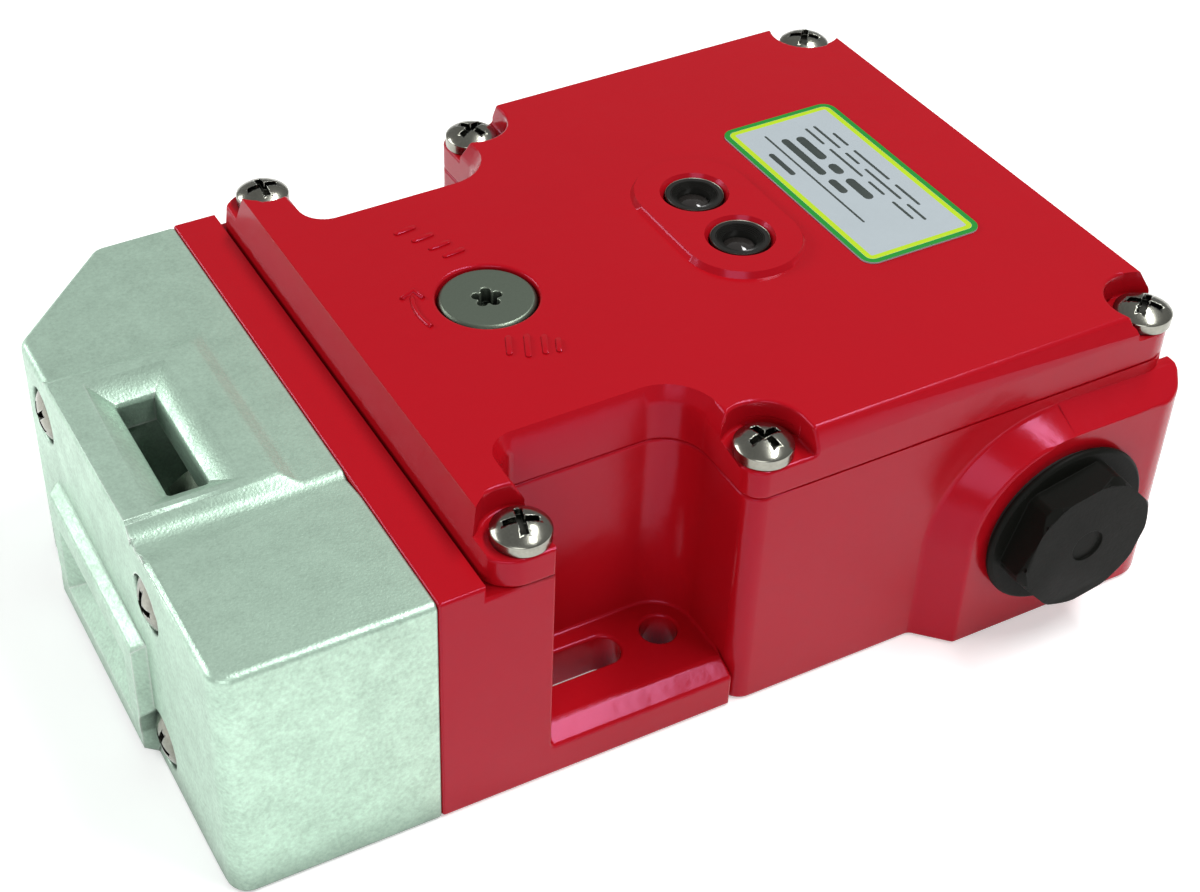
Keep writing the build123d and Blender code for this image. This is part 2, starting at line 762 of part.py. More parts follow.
def cam_rotor():
    """Cam that the actuator turns: two pockets for its bar and a spiral for the plunger."""
    plane = Plane(origin=(cam_x, cam_width / 2, cam_z), x_dir=(1, 0, 0), z_dir=(0, -1, 0))
    return extrude(plane * cam_profile(), cam_width)


def cam_axle():
    """Axle pin of the cam, held in saddles of the head."""
    return rod(cam_axle_radius, (cam_x, -axle_half_length, cam_z), (cam_x, axle_half_length, cam_z))


def axle_keepers():
    """Two blocks that fill the saddles behind the axle and trap it."""
    keeper = block((cam_x, chamber_half_width, cam_z - cam_axle_radius),
                   (joint_x, axle_half_length, cam_z + cam_axle_radius))
    keeper -= rod(cam_axle_radius, (cam_x, 0, cam_z), (cam_x, axle_half_length + clear, cam_z))
    return mirrored(keeper)


def plunger_rod():
    """Plunger: rounded nose on the cam, spring collar, two lock grooves, tail in the carrier."""
    neck_x = nose_x + nose_length
    body = rod(plunger_radius, (neck_x, 0, plunger_z), (carrier_x + tail_grip, 0, plunger_z))
    nose = rod(nose_radius, (nose_x, -plunger_radius, plunger_z), (nose_x, plunger_radius, plunger_z))
    nose += block((nose_x, -plunger_radius, plunger_z - nose_radius),
                  (neck_x, plunger_radius, plunger_z + nose_radius))
    nose &= rod(plunger_radius, (nose_x - 2 * nose_radius, 0, plunger_z), (neck_x, 0, plunger_z))
    body += nose
    body += rod(plunger_collar_radius, (collar_x, 0, plunger_z),
                (collar_x + plunger_collar_thickness, 0, plunger_z))
    groove_floor = bolt_tip_y - lock_travel - groove_gap
    for shift in (0, plunger_travel):
        body -= rod(bolt_radius + groove_gap, (bolt_x + shift, groove_floor, plunger_z),
                    (bolt_x + shift, 2 * plunger_radius, plunger_z))
    return body


def guide_bush():
    """Bush that guides the plunger through the front wall."""
    return ring(plunger_radius + bush_wall, plunger_radius + running_gap,
                (joint_x, 0, plunger_z), (cavity_x, 0, plunger_z))


def coil_spring(radius, wire, pitch, start, end):
    """Compression spring between two points, with as many turns as the pitch allows."""
    along = Vector(*end) - Vector(*start)
    height = along.length - wire
    path = Helix(pitch=height / round(along.length / pitch), height=height, radius=radius)
    section = Plane(origin=path @ 0, z_dir=path % 0) * Circle(wire / 2)
    coil = Pos(0, 0, wire / 2) * sweep(section, path=path)
    return Plane(origin=start, z_dir=along).location * coil


def plunger_spring():
    """Return spring from the plunger's collar to the web."""
    start = (collar_x + plunger_collar_thickness, 0, plunger_z)
    return coil_spring(spring_radius, spring_wire, spring_pitch, start, (web_x, 0, plunger_z))


def lock_bolt():
    """Bolt that enters a groove of the plunger."""
    body = rod(bolt_radius, (bolt_x, bolt_tip_y, plunger_z), (bolt_x, plate_y + plate_thickness, plunger_z))
    return chamfer(body.faces().sort_by(Axis.Y)[0].edges(), bolt_tip_chamfer)


def lock_plate():
    """Flat plate on the bolt, with an arm that the release cam pushes back."""
    half = plate_tab_width / 2
    arm_x = spindle_x - release_cam_small
    foot_z = plunger_z - bolt_radius - plate_foot
    outline = [(arm_x, plate_low), (bolt_x - half, plate_low), (bolt_x - half, foot_z),
               (bolt_x + half, foot_z), (bolt_x + half, plate_high), (arm_x, plate_high)]
    plane = Plane(origin=(0, plate_y + plate_thickness, 0), x_dir=(1, 0, 0), z_dir=(0, -1, 0))
    plate = prism(outline, plane, plate_thickness)
    return plate - rod(bolt_radius, (bolt_x, 0, plunger_z), (bolt_x, 2 * plate_y, plunger_z))


def armature():
    """Moving core of the solenoid, fixed behind the plate."""
    end = solenoid_y + solenoid_length - frame_thickness - armature_spring_room
    return rod(armature_radius, (bolt_x, plate_y + plate_thickness, plunger_z), (bolt_x, end, plunger_z))


def armature_spring():
    """Spring that drives the bolt towards the plunger."""
    start = solenoid_y + solenoid_length - frame_thickness
    radius = armature_radius - armature_spring_gap
    return coil_spring(radius, armature_spring_wire, armature_spring_pitch,
                       (bolt_x, start, plunger_z), (bolt_x, start - armature_spring_room, plunger_z))


def solenoid_frame():
    """Folded steel frame round the coil, screwed to the pad of the base."""
    half = solenoid_width / 2
    back_y = solenoid_y + solenoid_length
    high = solenoid_low + solenoid_height
    body = block((bolt_x - half, solenoid_y, solenoid_low), (bolt_x + half, back_y, high))
    body -= block((bolt_x - half - clear, solenoid_y + frame_thickness, solenoid_low + frame_thickness),
                  (bolt_x + half + clear, back_y - frame_thickness, high + clear))
    body -= rod(armature_radius + moving_gap, (bolt_x, solenoid_y - clear, plunger_z),
                (bolt_x, solenoid_y + frame_thickness + clear, plunger_z))
    for screw in solenoid_screws():
        body -= screw
    return body


def solenoid_screws():
    """The two countersunk screws of the solenoid frame, flush with its floor."""
    head, shank, top = frame_screw_head_radius, small_screw_radius, frame_thickness
    bottom = top - frame_screw_length
    profile = [(0, top), (head, top), (shank, top - head + shank), (shank, bottom), (0, bottom)]
    screw = revolve(Plane.XZ * make_face(Polyline(*profile, close=True)), Axis.Z)
    return [Pos(bolt_x, y, solenoid_low) * screw for y in frame_screw_y]


def coil_bobbin():
    """Plastic bobbin with two flanges; the armature slides in its bore."""
    bore = armature_radius + running_gap
    start = solenoid_y + frame_thickness
    end = solenoid_y + solenoid_length - frame_thickness
    body = ring(bore + bobbin_wall, bore, (bolt_x, start, plunger_z), (bolt_x, end, plunger_z))
    for y in (start, end - bobbin_flange):
        body += ring(coil_radius + bobbin_rim, bore, (bolt_x, y, plunger_z),
                     (bolt_x, y + bobbin_flange, plunger_z))
    return body


def coil_winding():
    """Copper winding on the bobbin."""
    start = solenoid_y + frame_thickness + bobbin_flange
    end = solenoid_y + solenoid_length - frame_thickness - bobbin_flange
    return ring(coil_radius, armature_radius + running_gap + bobbin_wall,
                (bolt_x, start, plunger_z), (bolt_x, end, plunger_z))


def release_spindle():
    """Release screw: disc flush with the lid, spindle, star recess, grooves for seal and clip."""
    disc_low = lid_top - release_disc_thickness
    disc_top = lid_top - release_disc_drop
    disc = rod(release_disc_radius, (spindle_x, 0, disc_low), (spindle_x, 0, disc_top))
    body = chamfer(top_face(disc).edges(), release_disc_chamfer)
    body += rod(release_spindle_radius, (spindle_x, 0, plate_low), (spindle_x, 0, disc_low))
    star = Circle(star_core_radius)
    for lobe in range(star_lobes):
        star += Rot(0, 0, 360 / star_lobes * lobe) * Pos(star_lobe_offset, 0) * Circle(star_lobe_radius)
    body -= Pos(spindle_x, 0, disc_top - star_depth) * extrude(star, star_depth + clear)
    outside = release_spindle_radius + clear
    body -= ring(outside, release_spindle_radius - seal_wire, (spindle_x, 0, seal_high - seal_wire),
                 (spindle_x, 0, seal_high))
    body -= ring(outside, release_spindle_radius - clip_groove_depth,
                 (spindle_x, 0, release_boss_low - clip_thickness), (spindle_x, 0, release_boss_low))
    flat_y = release_flat_depth - release_spindle_radius
    return body - block((spindle_x - outside, -outside, plate_low), (spindle_x + outside, flat_y, plate_high))


def release_seal():
    """Ring seal in the spindle's groove."""
    return ring(release_spindle_radius, release_spindle_radius - seal_wire,
                (spindle_x, 0, seal_high - seal_wire), (spindle_x, 0, seal_high))


def release_clip():
    """Open retaining clip under the bearing of the release spindle."""
    inner, outer = release_spindle_radius - clip_groove_depth, release_spindle_radius + clip_reach
    low = release_boss_low - clip_thickness
    clip = ring(outer, inner, (spindle_x, 0, low), (spindle_x, 0, release_boss_low))
    return clip - block((spindle_x, -clip_mouth / 2, low - clear),
                        (spindle_x + 2 * outer, clip_mouth / 2, release_boss_low + clear))


def release_cam():
    """Snail cam on the flat of the spindle; its reach towards the plate falls evenly over half a turn."""
    rate = lock_travel / pi
    samples = []
    steps = 10
    for step in range(steps + 1):
        turn = pi / 2 - pi * step / steps
        reach = release_cam_small + lock_travel - rate * (pi / 2 - turn)
        samples.append((reach * cos(turn) - rate * sin(turn), reach * sin(turn) + rate * cos(turn)))
    small = release_cam_small
    step_end = (-rate, sqrt(small ** 2 - (2 * rate) ** 2))
    back = ThreePointArc(samples[-1], (rate - small, 0), step_end)
    plan = make_face(Spline(*samples) + back + Line(step_end, samples[0]))
    width = 4 * release_spindle_radius
    below_flat = Pos(0, release_flat_depth - width / 2) * Rectangle(width, width / 2)
    bore = Circle(release_spindle_radius) - below_flat
    return Pos(spindle_x, 0, plate_low) * extrude(plan - bore, release_cam_thickness)


def fixed_contact(x, side):
    """One fixed contact: arm beside the bridge, riser in the block wall, terminal plate on top."""
    face = x - contact_back_step
    middle = face + contact_thickness / 2
    reach = block_width / 2 - contact_inset
    low, high = plunger_z - contact_height / 2, plunger_z + contact_height / 2
    plate_top = block_top + terminal_thickness
    body = block((face, carrier_width / 2 + contact_arm_gap, low), (face + contact_thickness, reach, high))
    body += block((face, reach - contact_thickness, low), (face + contact_thickness, reach, plate_top))
    half = terminal_plate_width / 2
    body += block((middle - half, terminal_y - half, block_top), (middle + half, reach, plate_top))
    body -= rod(small_screw_radius, (middle, terminal_y, block_top - clear),
                (middle, terminal_y, plate_top + clear))
    return body if side > 0 else mirror(body, Plane.XZ)


def fixed_contacts():
    """The fixed contacts, a pair for each bridge."""
    return [fixed_contact(x, side) for x in bridge_x for side in (1, -1)]


def contact_block():
    """Moulded contact block: open channel for the carrier, slots for contacts, screw flange."""
    end = block_x + block_length
    half = block_width / 2
    body = block((block_x, -half, floor_thickness), (end, half, block_top))
    foot_half = block_foot_width / 2
    foot_reach = half + 2 * block_flange
    body += block((block_middle_x - foot_half, -foot_reach, floor_thickness),
                  (block_middle_x + foot_half, foot_reach, floor_thickness + block_foot_height))
    body -= block((block_x + block_wall, -channel_width / 2, channel_floor),
                  (end - block_wall, channel_width / 2, block_top + clear))
    body -= rod(plunger_radius + moving_gap, (block_x - clear, 0, plunger_z),
                (block_x + block_wall + clear, 0, plunger_z))
    for contact in fixed_contacts():
        body -= contact
    for x, y in terminal_points():
        body -= rod(small_screw_radius, (x, y, block_top - terminal_screw_length), (x, y, block_top + clear))
    for x, y in block_screw_points():
        body -= rod(small_screw_radius, (x, y, 0), (x, y, floor_thickness + block_foot_height + clear))
    return body


def terminal_points():
    """Plan positions of the terminal screws."""
    shift = contact_back_step - contact_thickness / 2
    return [(x - shift, side * terminal_y) for x in bridge_x for side in (1, -1)]


def block_screw_points():
    """Plan positions of the contact block's screws."""
    return [(block_middle_x, side * (block_width / 2 + block_flange)) for side in (1, -1)]


def small_screw(length):
    """Small slotted pan-head screw, head above the XY plane."""
    shank, radius, top = small_screw_radius, small_head_radius, small_head_height
    profile = [(0, -length), (shank, -length), (shank, 0), (radius, 0), (radius, small_head_rim),
               (radius - top + small_head_rim, top), (0, top)]
    body = revolve(Plane.XZ * make_face(Polyline(*profile, close=True)), Axis.Z)
    return body - Pos(0, 0, top) * Box(3 * radius, small_slot_width, 2 * small_slot_depth)


def terminal_screws():
    """The terminal screws on the fixed contacts."""
    top = block_top + terminal_thickness
    return [Pos(x, y, top) * small_screw(terminal_screw_length) for x, y in terminal_points()]


def block_screws():
    """The two screws that hold the contact block to the floor."""
    length = block_foot_height + block_screw_reach
    foot_top = floor_thickness + block_foot_height
    return [Pos(x, y, foot_top) * small_screw(length) for x, y in block_screw_points()]


def contact_carrier():
    """Slider on the plunger's tail that carries the bridges."""
    length = carrier_start_margin + (bridge_count - 1) * bridge_pitch + carrier_end_margin
    half, rise = carrier_width / 2, carrier_height / 2
    body = block((carrier_x, -half, plunger_z - rise), (carrier_x + length, half, plunger_z + rise))
    body -= rod(plunger_radius, (carrier_x - clear, 0, plunger_z), (carrier_x + tail_grip, 0, plunger_z))
    for bridge in contact_bridges():
        body -= bridge
    return body


def contact_bridges():
    """Moving bridges through the carrier."""
    half, rise = bridge_length / 2, contact_height / 2
    low, high = plunger_z - rise, plunger_z + rise
    return [block((x, -half, low), (x + contact_thickness, half, high)) for x in bridge_x]


def lamp_holders():
    """Black dished rings round the lamp lenses."""
    top = lamp_top - holder_drop
    holders = []
    for x, y in lamp_places:
        outer = rod(lamp_radius, (x, y, board_top), (x, y, top))
        dish = Cone(lens_radius, lamp_radius - holder_rim, holder_dish_depth)
        dish = Pos(x, y, top - holder_dish_depth / 2) * dish
        bore = rod(lens_radius, (x, y, board_top - clear), (x, y, top + clear))
        holders.append(outer - dish - bore)
    return holders


def lamp_lenses():
    """Domed lenses of the two lamps."""
    lenses = []
    for x, y in lamp_places:
        body = rod(lens_radius, (x, y, board_top), (x, y, lamp_top - lens_drop))
        lenses.append(fillet(top_face(body).edges(), lens_edge_radius))
    return lenses


def lamp_board():
    """Circuit board of the lamps, on the posts under the lid."""
    reach = lamp_pitch / 2 + lamp_radius + board_end_margin
    half = board_width / 2
    return block((lamp_x - half, lamp_y - reach, board_top - board_thickness),
                 (lamp_x + half, lamp_y + reach, board_top))


def conduit_plug():
    """Hexagon blanking plug, flange on the XY plane and shank below."""
    body = extrude(Circle(plug_flange_radius), plug_flange_thickness)
    body = chamfer(top_face(body).edges(), plug_flange_chamfer)
    outline = RegularPolygon(plug_hex_width / 2, 6, major_radius=False)
    hexagon = Pos(0, 0, plug_flange_thickness) * extrude(outline, plug_hex_height)
    top = plug_flange_thickness + plug_hex_height
    trim = extrude(Circle(plug_hex_width / sqrt(3) - plug_corner_trim), top)
    hexagon &= chamfer(top_face(trim).edges(), plug_hex_chamfer)
    dimple = Circle(plug_dimple_radius)
    body += hexagon - Pos(0, 0, top - plug_dimple_depth) * extrude(dimple, plug_dimple_depth)
    return body + extrude(Circle(entry_radius - plug_clearance), -plug_shank_length - washer_thickness)


def plug_placings():
    """Places of the two blanking plugs, each with its axis pointing out of the base."""
    face = half_width + side_boss_height + washer_thickness
    return [Plane(origin=(entry_center_x, side * face, entry_z), x_dir=(1, 0, 0), z_dir=(0, side, 0)).location
            for side in (-1, 1)]


def conduit_plugs():
    """Blanking plugs in the two side entries."""
    return [place * Rot(0, 0, plug_turn) * conduit_plug() for place in plug_placings()]


def plug_washers():
    """Flat washers under the plugs' flanges."""
    washer = extrude(Circle(washer_radius) - Circle(entry_radius), -washer_thickness)
    return [place * washer for place in plug_placings()]


def lid_gasket():
    """Seal in the groove of the base's rim."""
    groove = cavity_plan(gasket_inset + gasket_width) - cavity_plan(gasket_inset)
    return Pos(0, 0, seam_height - gasket_thickness) * extrude(groove, gasket_thickness)


def label():
    """Blank label plate on the lid."""
    plate = extrude(RectangleRounded(label_width, label_length, label_corner_radius), label_thickness)
    return Pos(label_x, label_y, lid_top) * plate


def earth_screw():
    """Earth terminal screw with a square clamping washer."""
    half = earth_washer_width / 2
    washer = block((-half, -half, 0), (half, half, earth_washer_thickness))
    washer -= rod(small_screw_radius, (0, 0, -clear), (0, 0, earth_washer_thickness + clear))
    screw = Pos(0, 0, earth_washer_thickness) * small_screw(earth_screw_length)
    return [Pos(earth_x, -earth_y, earth_top) * piece for piece in (screw, washer)]


def save(name, shape):
    """Writes one sub-part's STEP file; a list becomes separate solids of one node."""
    if isinstance(shape, list):
        shape = Compound(children=[item if isinstance(item, Solid) else item.solid() for item in shape])
    export_step(shape, f"parts/{name}.step")


os.makedirs("parts", exist_ok=True)
for make in (base_housing, lid, lid_gasket, lid_screws, head_housing, head_gasket, head_screws, cam_rotor,
             cam_axle, axle_keepers, plunger_rod, plunger_spring, guide_bush, lock_bolt, lock_plate, armature,
             armature_spring, solenoid_frame, solenoid_screws, coil_bobbin, coil_winding, release_spindle,
             release_seal, release_clip, release_cam, contact_block, fixed_contacts, terminal_screws,
             block_screws, contact_carrier, contact_bridges, lamp_holders, lamp_lenses, lamp_board,
             conduit_plugs, plug_washers, label, earth_screw):
    save(make.__name__, make())
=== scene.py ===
"""Looks of a guard locking switch: castings, screws, lamps, plugs and the mechanism inside.

Every length is in metres and every place comes from the frame, so a piece sits where its solid is.
"""

import json
from math import cos, pi, radians, sin

import bmesh
import bpy
from bpy.props import FloatProperty, FloatVectorProperty, PointerProperty
from bpy.types import Operator, Panel, PropertyGroup
from mathutils import Euler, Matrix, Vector
from mathutils.bvhtree import BVHTree
from mathutils.geometry import intersect_point_line

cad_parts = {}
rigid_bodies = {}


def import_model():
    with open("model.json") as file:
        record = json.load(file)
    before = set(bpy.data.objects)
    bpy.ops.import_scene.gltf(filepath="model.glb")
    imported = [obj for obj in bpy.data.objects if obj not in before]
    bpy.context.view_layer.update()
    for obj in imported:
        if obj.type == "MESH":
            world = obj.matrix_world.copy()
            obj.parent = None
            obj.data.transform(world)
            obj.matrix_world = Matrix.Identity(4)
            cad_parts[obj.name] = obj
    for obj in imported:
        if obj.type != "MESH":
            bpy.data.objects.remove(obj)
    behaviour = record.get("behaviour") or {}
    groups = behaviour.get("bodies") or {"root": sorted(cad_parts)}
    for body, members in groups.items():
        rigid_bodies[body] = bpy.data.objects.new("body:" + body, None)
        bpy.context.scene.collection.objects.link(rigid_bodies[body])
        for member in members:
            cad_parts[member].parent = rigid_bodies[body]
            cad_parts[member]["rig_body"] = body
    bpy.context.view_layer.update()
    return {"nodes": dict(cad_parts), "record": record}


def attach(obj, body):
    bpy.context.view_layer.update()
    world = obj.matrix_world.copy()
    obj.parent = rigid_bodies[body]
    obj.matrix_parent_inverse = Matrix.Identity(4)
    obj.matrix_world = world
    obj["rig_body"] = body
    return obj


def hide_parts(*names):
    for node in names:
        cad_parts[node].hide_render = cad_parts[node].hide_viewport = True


bl_info = {
    "name": "Guard Locking Switch",
    "version": (1, 0, 0),
    "blender": (4, 5, 0),
    "location": "View3D > Sidebar > Guard Switch",
    "description": "Dresses the solids of a guard locking switch and lights them",
    "category": "Object",
}

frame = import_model()
MM = 0.001

# Rounding of edges: how often it is tried, and four lengths as shares of the rounding's width.
ROUNDING_TRIES = 10
ROOM_NEEDED = 2.2
SHORTEST_NEIGHBOUR = 1.2
FARTHEST_STRAY = 0.6
SHARP_REACH = 3

# A triangle is folded over if it is larger than this (twice its area) and faces this far the other way.
SMALLEST_FOLD = 2e-9
FOLDED_COSINE = -0.2

# Steps in a rounded edge, and the bend in degrees past which an edge is rounded.
SOLID_STEPS, CASTING_STEPS = 2, 4
SOLID_BEND, FINE_BEND = 18, 30

# Faces of a solid that bend less than this, in degrees, become one before its edges are rounded.
FLAT_BEND = 0.5

# Creases in degrees: faces that meet at more than this stay sharp, on castings even the gentle slopes.
CASTING_CREASE = 26
SOLID_CREASE = 38
TURNED_CREASE = 40
BAR_CREASE = 35

# Points closer than this are one, on a solid and on a turned piece.
SAME_POINT = 2e-6
SAME_TURNED_POINT = 1e-7

# Flat sides of a turned piece.
ROUND_SIDES = 64
THREAD_SIDES = 96
RECESS_SIDES = 20

# Walls behind the lid screws: they stand from a depth under the screws' tops to one under the lid's top.
RECESS_RADIUS = 5.62 * MM
RECESS_WALL = 0.5 * MM
RECESS_FOOT = 3.3 * MM
RECESS_TOP = 2.7 * MM

# In degrees: where the lid's hollow lies from the end and the middle screws, and how far round a wall goes.
HOLLOW_FROM_END, HOLLOW_FROM_MIDDLE = 135, 45
RECESS_SPAN = 88

# Raised marks round the release screw, angles in degrees: an arc whose arrowhead has two barbs.
DISC_BELOW_LID = 0.17 * MM
ARROW_RADIUS = 10.4 * MM
ARROW_START, ARROW_END = 156, 196
ARROW_STEPS = 14
ARROW_TIP = 146
BARB_ANGLE = 157
BARB_SPREAD = 1.5 * MM

# Raised bars at the ends of its turn: each row's turn in radians, and each bar's x, y and length in mm.
END_BARS = (
    (0.1, ((-3.4, 19.4, 3.6), (-1.9, 16.6, 3.6), (-0.6, 13.8, 3.6), (0.4, 11.2, 3.6))),
    (1.15, ((-2.6, -11.4, 4.2), (-0.4, -12.6, 5.0), (1.8, -13.4, 4.2), (3.4, -14.4, 3.0))))

# Lamp ring: its chamfer, and a dish that goes down in steps from a share of its radius. A step has a lip.
DISH_CHAMFER = 0.1 * MM
DISH_SHARE = 0.84
DISH_DEPTH = 0.7 * MM
DISH_STEPS = 5
STEP_TREAD, STEP_FALL = 0.16 * MM, 0.02 * MM
STEP_LIP = 0.12 * MM

# Pale ring: shares of its width, and heights over the lamp ring's top.
TRIM_SECTION = ((0, -0.45 * MM), (1, -0.4 * MM), (1, -0.1 * MM), (0.5, 0.02 * MM), (0, -0.08 * MM))

# Lens: a low dome with a shoulder, and each ring's crest and groove, inwards of its radius and over the dome.
LENS_DOME = 0.55 * MM
LENS_SHOULDER = 0.75 * MM
LENS_RINGS = 6
LENS_RING_SECTION = ((0.2 * MM, 0.02 * MM), (0.08 * MM, -0.05 * MM))

# Label: its edge and corner, the least bend of a line, and how far lines and print sink into the plate.
LABEL_EDGE = 0.05 * MM
LABEL_CORNER = 2.0 * MM
LABEL_LEAST_BEND = 0.3 * MM
LABEL_CORNER_STEPS = 8
PRINT_SINK = 0.002 * MM

# Rows of print in millimetres: the row's place along x, its width, and the start and length of each bar.
PRINT_ROWS = (
    (3.6, 0.9, ((8.5, 6.5),)),
    (5.6, 0.35, ((4.0, 26.0),)),
    (7.6, 1.3, ((6.0, 11.0), (18.5, 4.0))),
    (10.0, 1.5, ((6.5, 7.0), (15.0, 3.0), (19.5, 6.0))),
    (12.3, 0.45, ((5.0, 5.0), (11.5, 8.5), (21.5, 4.0), (27.5, 5.0))),
    (13.8, 0.45, ((5.0, 7.0), (13.5, 3.5), (18.5, 9.0), (29.0, 4.5))),
    (15.3, 0.45, ((8.0, 4.0), (13.5, 9.0), (24.0, 6.0))))

# Thread: shares of its pitch at which a ridge's crest starts and ends.
CREST_START, CREST_END = 0.35, 0.55

# Winding: the wall between armature and wire, and a turn's section, along and inwards as shares of pitch.
BOBBIN_WALL = 0.95 * MM
WIRE_SECTION = ((0.08, 0.3), (0.3, 0.05), (0.5, 0.0), (0.7, 0.05), (0.92, 0.3))

# Section of a raised line, as shares of its width and height.
RIBBON_SECTION = ((-0.5, 0.0), (-0.34, 0.8), (-0.12, 1.0), (0.12, 1.0), (0.34, 0.8), (0.5, 0.0))

# Side of a bar, as shares of its height: how far inwards, and how high. Its ends are round, in so many steps.
BAR_SECTION = ((0.0, 0.0), (0.0, 0.6), (0.3, 1.0))
BAR_END_STEPS = 6

# Floor: half its side, its squares each way, its white and roughness, and how far under the switch it lies.
FLOOR_REACH = 30.0
FLOOR_SQUARES = 8
FLOOR_WHITE = 0.95
FLOOR_ROUGHNESS = 0.9
FLOOR_GAP = 0.2 * MM

# Distances from the switch between which the floor grows whiter, and how white the far part is made.
FLOOR_NEAR, FLOOR_FAR = 0.3, 1.6
FLOOR_FAR_LIFT = 0.8

# Lamps of the studio: the two sides of each, and its place.
LAMP_SIDES = {"key": (0.5, 0.4), "top": (0.6, 0.12), "back": (0.5, 0.22)}
LAMP_PLACES = {"key": (-0.45, -0.60, 0.42), "top": (0.26, -0.10, 0.64), "back": (-0.52, 0.46, 0.34)}

# Camera: width of its sensor in millimetres, and the nearest that it sees.
SENSOR_WIDTH = 36
CLIP_START = 0.01

# Finishes: the wear and painted highlight left on an edge where its noise is darkest, the least roughness,
# and a coat's roughness.
LEAST_WEAR_AND_HIGHLIGHT = 0.35
LEAST_ROUGHNESS = 0.02
COAT_ROUGHNESS = 0.05

# Node groups and materials that are made already, by name.
GROUPS = {}
MATERIALS = {}


def colour(name, description, value):
    """A colour property with a default."""
    return FloatVectorProperty(name=name, description=description, default=value, size=3, min=0, max=1,
                               subtype="COLOR")


def distance(name, description, value):
    """A length property with a default in metres."""
    return FloatProperty(name=name, description=description, default=value, min=0, unit="LENGTH",
                         precision=5)


def fraction(name, description, value):
    """A property between nought and one."""
    return FloatProperty(name=name, description=description, default=value, min=0, max=1, subtype="FACTOR")


def power(name, description, value):
    """A lamp's power in watts."""
    return FloatProperty(name=name, description=description, default=value, min=0, unit="POWER")


class SwitchFinishes(PropertyGroup):
    """Colours of the switch's finishes."""
    enamel: colour("Enamel", "Red enamel of the base and lid", (0.42, 0.0045, 0.010))
    alloy: colour("Blasted alloy", "Bare die casting of the head", (0.61, 0.84, 0.68))
    # Lighter edges of the head and screws: part wear, part painted highlight.
    alloy_edge_and_highlight: colour("Alloy edge", "Rubbed edges of the head", (0.86, 0.90, 0.86))
    screw: colour("Screw steel", "Screws of the lid and head", (0.42, 0.42, 0.36))
    plated: colour("Plated steel", "Pressed parts inside", (0.62, 0.61, 0.55))
    ground: colour("Ground steel", "Plunger, bolt and pins", (0.66, 0.66, 0.66))
    satin: colour("Satin steel", "Disc of the release screw", (0.22, 0.27, 0.21))
    bronze: colour("Bronze", "Plunger bush", (0.55, 0.36, 0.16))
    brass: colour("Brass", "Contacts and earth clamp", (0.72, 0.53, 0.22))
    copper: colour("Copper wire", "Coil winding", (0.55, 0.20, 0.08))
    rubber: colour("Rubber", "Seals and washers", (0.018, 0.018, 0.018))
    black: colour("Black moulding", "Plugs", (0.007, 0.0075, 0.006))
    cream: colour("Cream moulding", "Contact block and bobbin", (0.72, 0.66, 0.50))
    board: colour("Board", "Lamp board", (0.03, 0.18, 0.07))
    lens: colour("Lens", "Lamp lenses", (0.030, 0.026, 0.024))
    lamp_black: colour("Lamp ring", "Black rings of the lamps", (0.018, 0.018, 0.016))
    foil: colour("Foil", "Field of the label", (0.44, 0.50, 0.53))
    rim_inner: colour("Inner line", "Inner line round the label", (0.46, 0.66, 0.015))
    rim_outer: colour("Outer line", "Outer line round the label", (0.012, 0.27, 0.03))
    ink: colour("Print", "Plain bars on the label", (0.05, 0.065, 0.06))


class SwitchSizes(PropertyGroup):
    """Sizes of the fine detail."""
    casting_edge: distance("Casting edge", "Rounding of the castings' edges", 0.5 * MM)
    machined_edge: distance("Fine edge", "Rounding of the screws' and plugs' edges", 0.15 * MM)
    relief: distance("Relief", "Height of the raised marks on the lid", 0.4 * MM)
    relief_line: distance("Relief line", "Width of the raised marks' lines", 0.8 * MM)
    rim_width: distance("Label rim", "Width of each line round the label", 0.85 * MM)
    print_height: distance("Print", "Thickness of the print on the label", 0.02 * MM)
    lamp_ring: distance("Lamp ring", "Width of the pale ring round each lamp", 0.12 * MM)
    wire: distance("Wire", "Pitch of the turns of the winding", 0.6 * MM)
    thread_pitch: distance("Thread pitch", "Pitch of the cable entry's thread", 1.5 * MM)
    thread_depth: distance("Thread depth", "Depth of the cable entry's thread", 0.5 * MM)


class StudioSettings(PropertyGroup):
    """Camera, lamps and floor."""
    camera_place: FloatVectorProperty(name="Camera place", description="Where the camera stands", size=3,
                                      default=(-0.12088, -0.20959, 0.22011), unit="LENGTH")
    camera_turn: FloatVectorProperty(name="Camera turn", description="Turn of the camera", size=3,
                                     default=(radians(51.058), radians(1.138), radians(-25.810)),
                                     subtype="EULER")
    lens: FloatProperty(name="Lens", description="Focal length on a 36 mm sensor", default=63.44,
                        unit="CAMERA")
    shift: FloatVectorProperty(name="Shift", description="Shift of the picture", size=2,
                               default=(0.15, -0.05))
    key: power("Key lamp", "Power of the key lamp", 2.0)
    top: power("Top lamp", "Power of the long lamp overhead", 4.0)
    back: power("Back lamp", "Power of the long lamp behind", 2.4)
    surround: fraction("Surround", "Brightness of the surroundings", 0.26)
    floor_lift: fraction("Floor lift", "How much whiter the floor shows than its shade", 0.36)


# Node groups

def node_group(name, inputs, outputs):
    """An empty shader node group with its named sockets, and its two ends."""
    group = bpy.data.node_groups.new(name, "ShaderNodeTree")
    for label, kind, value in inputs:
        socket = group.interface.new_socket(name=label, in_out="INPUT", socket_type=kind)
        socket.default_value = value
    for label, kind in outputs:
        group.interface.new_socket(name=label, in_out="OUTPUT", socket_type=kind)
    return group, group.nodes.new("NodeGroupInput"), group.nodes.new("NodeGroupOutput")


def noise(nodes, detail, roughness=0.5):
    """A noise texture node."""
    texture = nodes.new("ShaderNodeTexNoise")
    texture.inputs["Detail"].default_value = detail
    texture.inputs["Roughness"].default_value = roughness
    return texture


